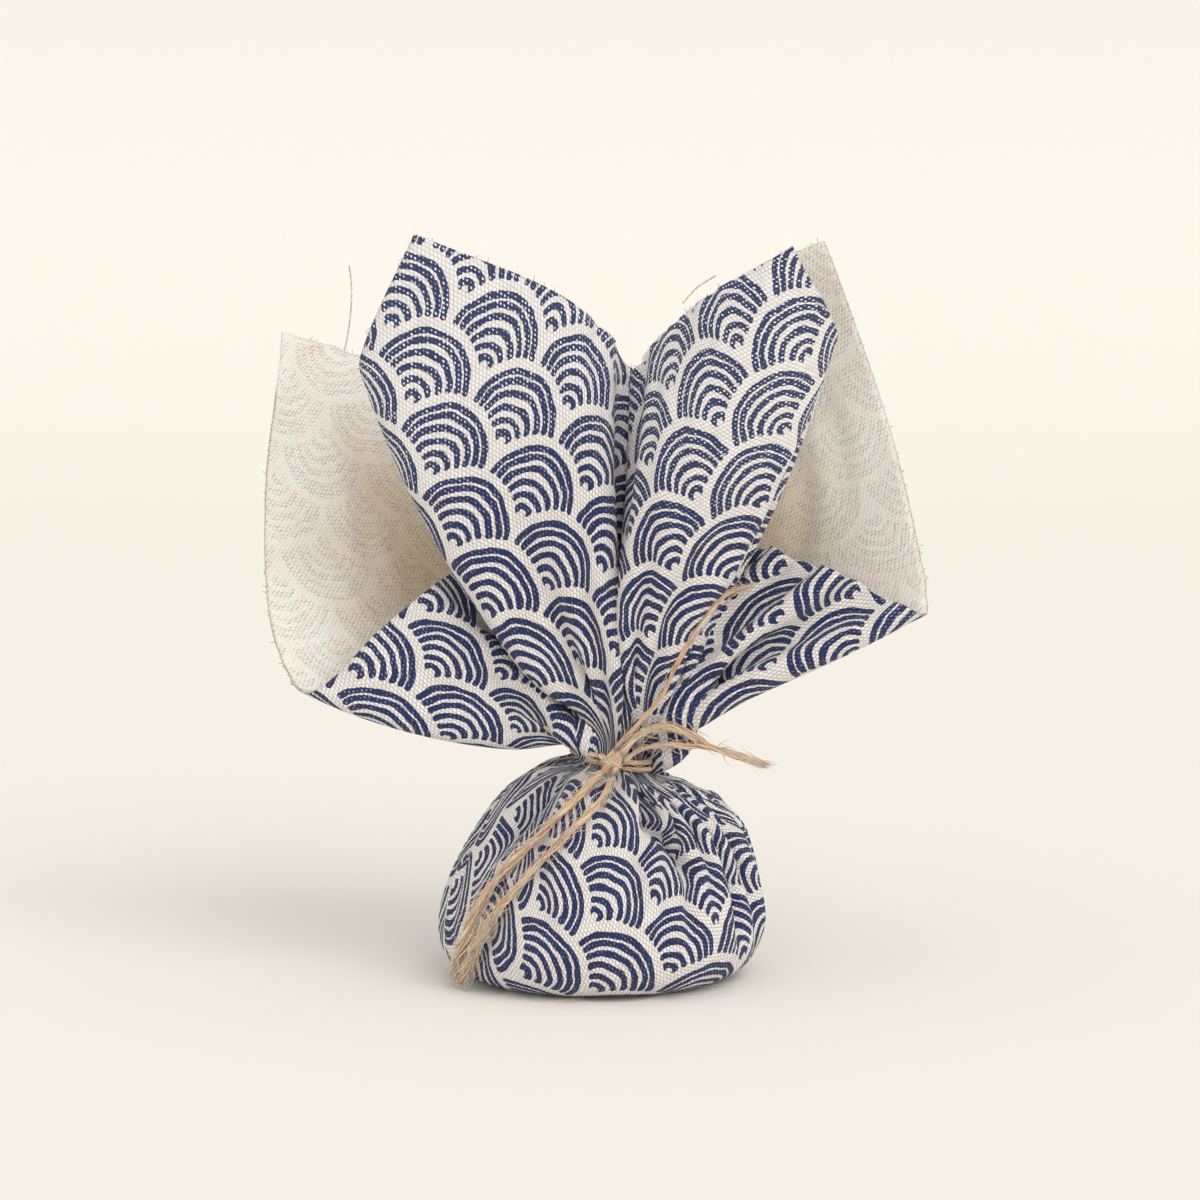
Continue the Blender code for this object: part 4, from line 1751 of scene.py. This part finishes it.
@dataclass
class CutThreads:
    """The short thread ends along the raw edge, and two that hang loose from it."""

    seed: int = 61
    count: int = 300
    radius: float = 0.1
    shortest: float = 0.3
    longest: float = 1.2
    root: float = -0.4  # where a thread starts inside the hem, as a share of its length
    points: int = 5
    lean: float = 0.5
    curl: float = 0.2
    loose_radius: float = 0.16
    loose: tuple[tuple[tuple[float, float, float], ...], ...] = (
        ((-66.0, 46.0, 149.5), (-64.4, 46.8, 156), (-63.3, 47.5, 164), (-63.1, 48, 169), (-63.7, 48.2, 175)),
        ((21.0, -14.5, 170.5), (24.5, -16.5, 174.5), (29.0, -18.8, 177.6)),
    )

    def build(self, sheet: np.ndarray) -> None:
        """Makes the thread ends.

        Args:
            sheet: the grid of points of the cloth's middle surface.
        """
        spinner = Spinner(self.seed, step=1.0)
        turned = sheet.transpose(1, 0, 2)
        hems = [(grid[edge], grid[inner]) for grid in (sheet, turned) for edge, inner in ((0, 2), (-1, -3))]
        for _ in range(self.count):
            hem, inner = hems[spinner.chance.integers(4)]
            at = spinner.chance.integers(1, len(hem) - 1)
            out = (hem[at] - inner[at]) / np.linalg.norm(hem[at] - inner[at])
            aside = (hem[at + 1] - hem[at - 1]) / np.linalg.norm(hem[at + 1] - hem[at - 1])
            length = spinner.chance.uniform(self.shortest, self.longest)
            t = np.linspace(self.root, 1, self.points)
            lean = spinner.chance.normal(0, self.lean)
            end = spinner.chance.normal(0, self.curl, 3)
            line = hem[at] + np.outer(t * length, out)
            line = line + np.outer(lean * length * np.maximum(t, 0) ** 2, aside)
            line = line + np.outer(np.maximum(t, 0) ** 2 * length, end)
            spinner.tube(line, np.full(self.points, self.radius), 3, 1.0)
        for route in self.loose:
            path = even_path(route, 1.0)
            spinner.tube(path, np.full(len(path), self.loose_radius), 4, 2.0)
        spinner.piece("cut_threads", CutEdge().make(), "cloth")
        LOG.info("cut threads: %d", self.count + len(self.loose))


# ---------------------------------------------------------------- the studio


@dataclass
class Studio:
    """A pale floor that curves up behind, a soft light, and the camera; in metres."""

    target: tuple[float, float, float] = (0.00075, 0.0, 0.095)
    distance: float = 1.3
    elevation: float = 8.0
    view_width: float = 0.3
    sensor: float = 36.0
    floor_front: float = -2.5
    wall_at: float = 1.7
    wall_height: float = 3.0
    half_width: float = 3.0
    sweep: float = 0.8
    sweep_steps: int = 12
    floor_tone: Colour = tint(246, 242, 236)
    wall_tone: Colour = tint(208, 209, 203)
    key_from: tuple[float, float, float] = (0.55, -0.75, 0.85)
    key_spread: float = 50.0
    key_strength: float = 0.93
    key_tone: Colour = (1.0, 0.99, 0.97)
    sky_tone: Colour = (1.0, 0.98, 0.948)
    sky_strength: float = 0.85

    def camera(self) -> None:
        """Sets up the camera."""
        lens = bpy.data.cameras.new("camera")
        lens.sensor_width = self.sensor
        lens.lens = self.sensor * self.distance / self.view_width
        lens.clip_start, lens.clip_end = 0.01, 50.0
        seen = link(bpy.data.objects.new("camera", lens))
        turn = math.radians(self.elevation)
        away = Vector((0, -math.cos(turn), math.sin(turn))) * self.distance
        seen.location = Vector(self.target) + away
        seen.rotation_euler = (-away).to_track_quat("-Z", "Y").to_euler()
        bpy.context.scene.camera = seen

    def floor(self) -> None:
        """Makes the seamless floor and backdrop: a plane, its back edge drawn up and the corner rounded."""
        bpy.ops.object.select_all(action="DESELECT")
        bpy.ops.mesh.primitive_plane_add(size=1.0, location=(0.0, 0.0, 0.0))
        floor = bpy.context.active_object
        floor.name = floor.data.name = "floor"
        bpy.ops.object.mode_set(mode="EDIT")
        bpy.ops.transform.resize(value=(2 * self.half_width, self.wall_at - self.floor_front, 1.0))
        bpy.ops.transform.translate(value=(0.0, 0.5 * (self.wall_at + self.floor_front), 0.0))
        self.pick_corner(floor)
        bpy.ops.mesh.extrude_region_move(TRANSFORM_OT_translate={"value": (0.0, 0.0, self.wall_height)})
        self.pick_corner(floor)
        bpy.ops.mesh.bevel(offset=self.sweep, segments=self.sweep_steps)
        bpy.ops.object.mode_set(mode="OBJECT")
        floor.data.shade_smooth()
        bench = Bench("floor_paper")
        where = bench.node("ShaderNodeTexCoord", {}, {}, 3)
        grain = bench.noise(where, 900.0, 2.0)
        height = bench.axes(where)[2].ramp(0.0, 0.7)
        tone = bench.mix(height, self.floor_tone, self.wall_tone)
        floor.data.materials.append(bench.surface(tone, 0.9, grain, 0.00002))
        LOG.info("floor: %d faces", len(floor.data.polygons))

    def pick_corner(self, floor: bpy.types.Object) -> None:
        """Selects only the edge where the wall stands on the floor.

        Args:
            floor: the floor, in edit mode.
        """
        bpy.ops.object.mode_set(mode="OBJECT")
        mesh = floor.data
        back, near = self.wall_at, 0.01
        chosen = {p.index for p in mesh.vertices if p.co.y > back - near and p.co.z < near}
        for point in mesh.vertices:
            point.select = point.index in chosen
        for part in (*mesh.edges, *mesh.polygons):
            part.select = chosen.issuperset(part.vertices)
        bpy.ops.object.mode_set(mode="EDIT")

    def light(self) -> None:
        """Adds the key light: one broad distant light, from the front right and above."""
        lamp = bpy.data.lights.new("key", "SUN")
        lamp.angle, lamp.energy = math.radians(self.key_spread), self.key_strength
        lamp.color = self.key_tone
        held = link(bpy.data.objects.new("key", lamp))
        held.rotation_euler = Vector(self.key_from).to_track_quat("Z", "Y").to_euler()

    def sky(self) -> None:
        """Surrounds the scene with even light."""
        world = bpy.data.worlds.new("sky")
        world.use_nodes = True
        sockets = world.node_tree.nodes["Background"].inputs
        sockets["Color"].default_value = (*self.sky_tone, 1.0)
        sockets["Strength"].default_value = self.sky_strength
        bpy.context.scene.world = world

    def build(self) -> None:
        """Makes the floor, the light and the sky."""
        self.floor()
        self.light()
        self.sky()
        bpy.context.scene.view_settings.view_transform = "Standard"


# ---------------------------------------------------------------- all together


def main() -> None:
    """Builds the camera, the twine, the cloth and the studio, in that order."""
    logging.basicConfig(level=logging.INFO, format="%(message)s")
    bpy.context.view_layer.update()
    studio = Studio()
    studio.camera()
    TwineTie().build()
    Handkerchief().build()
    studio.build()


if __name__ == "__main__":
    main()
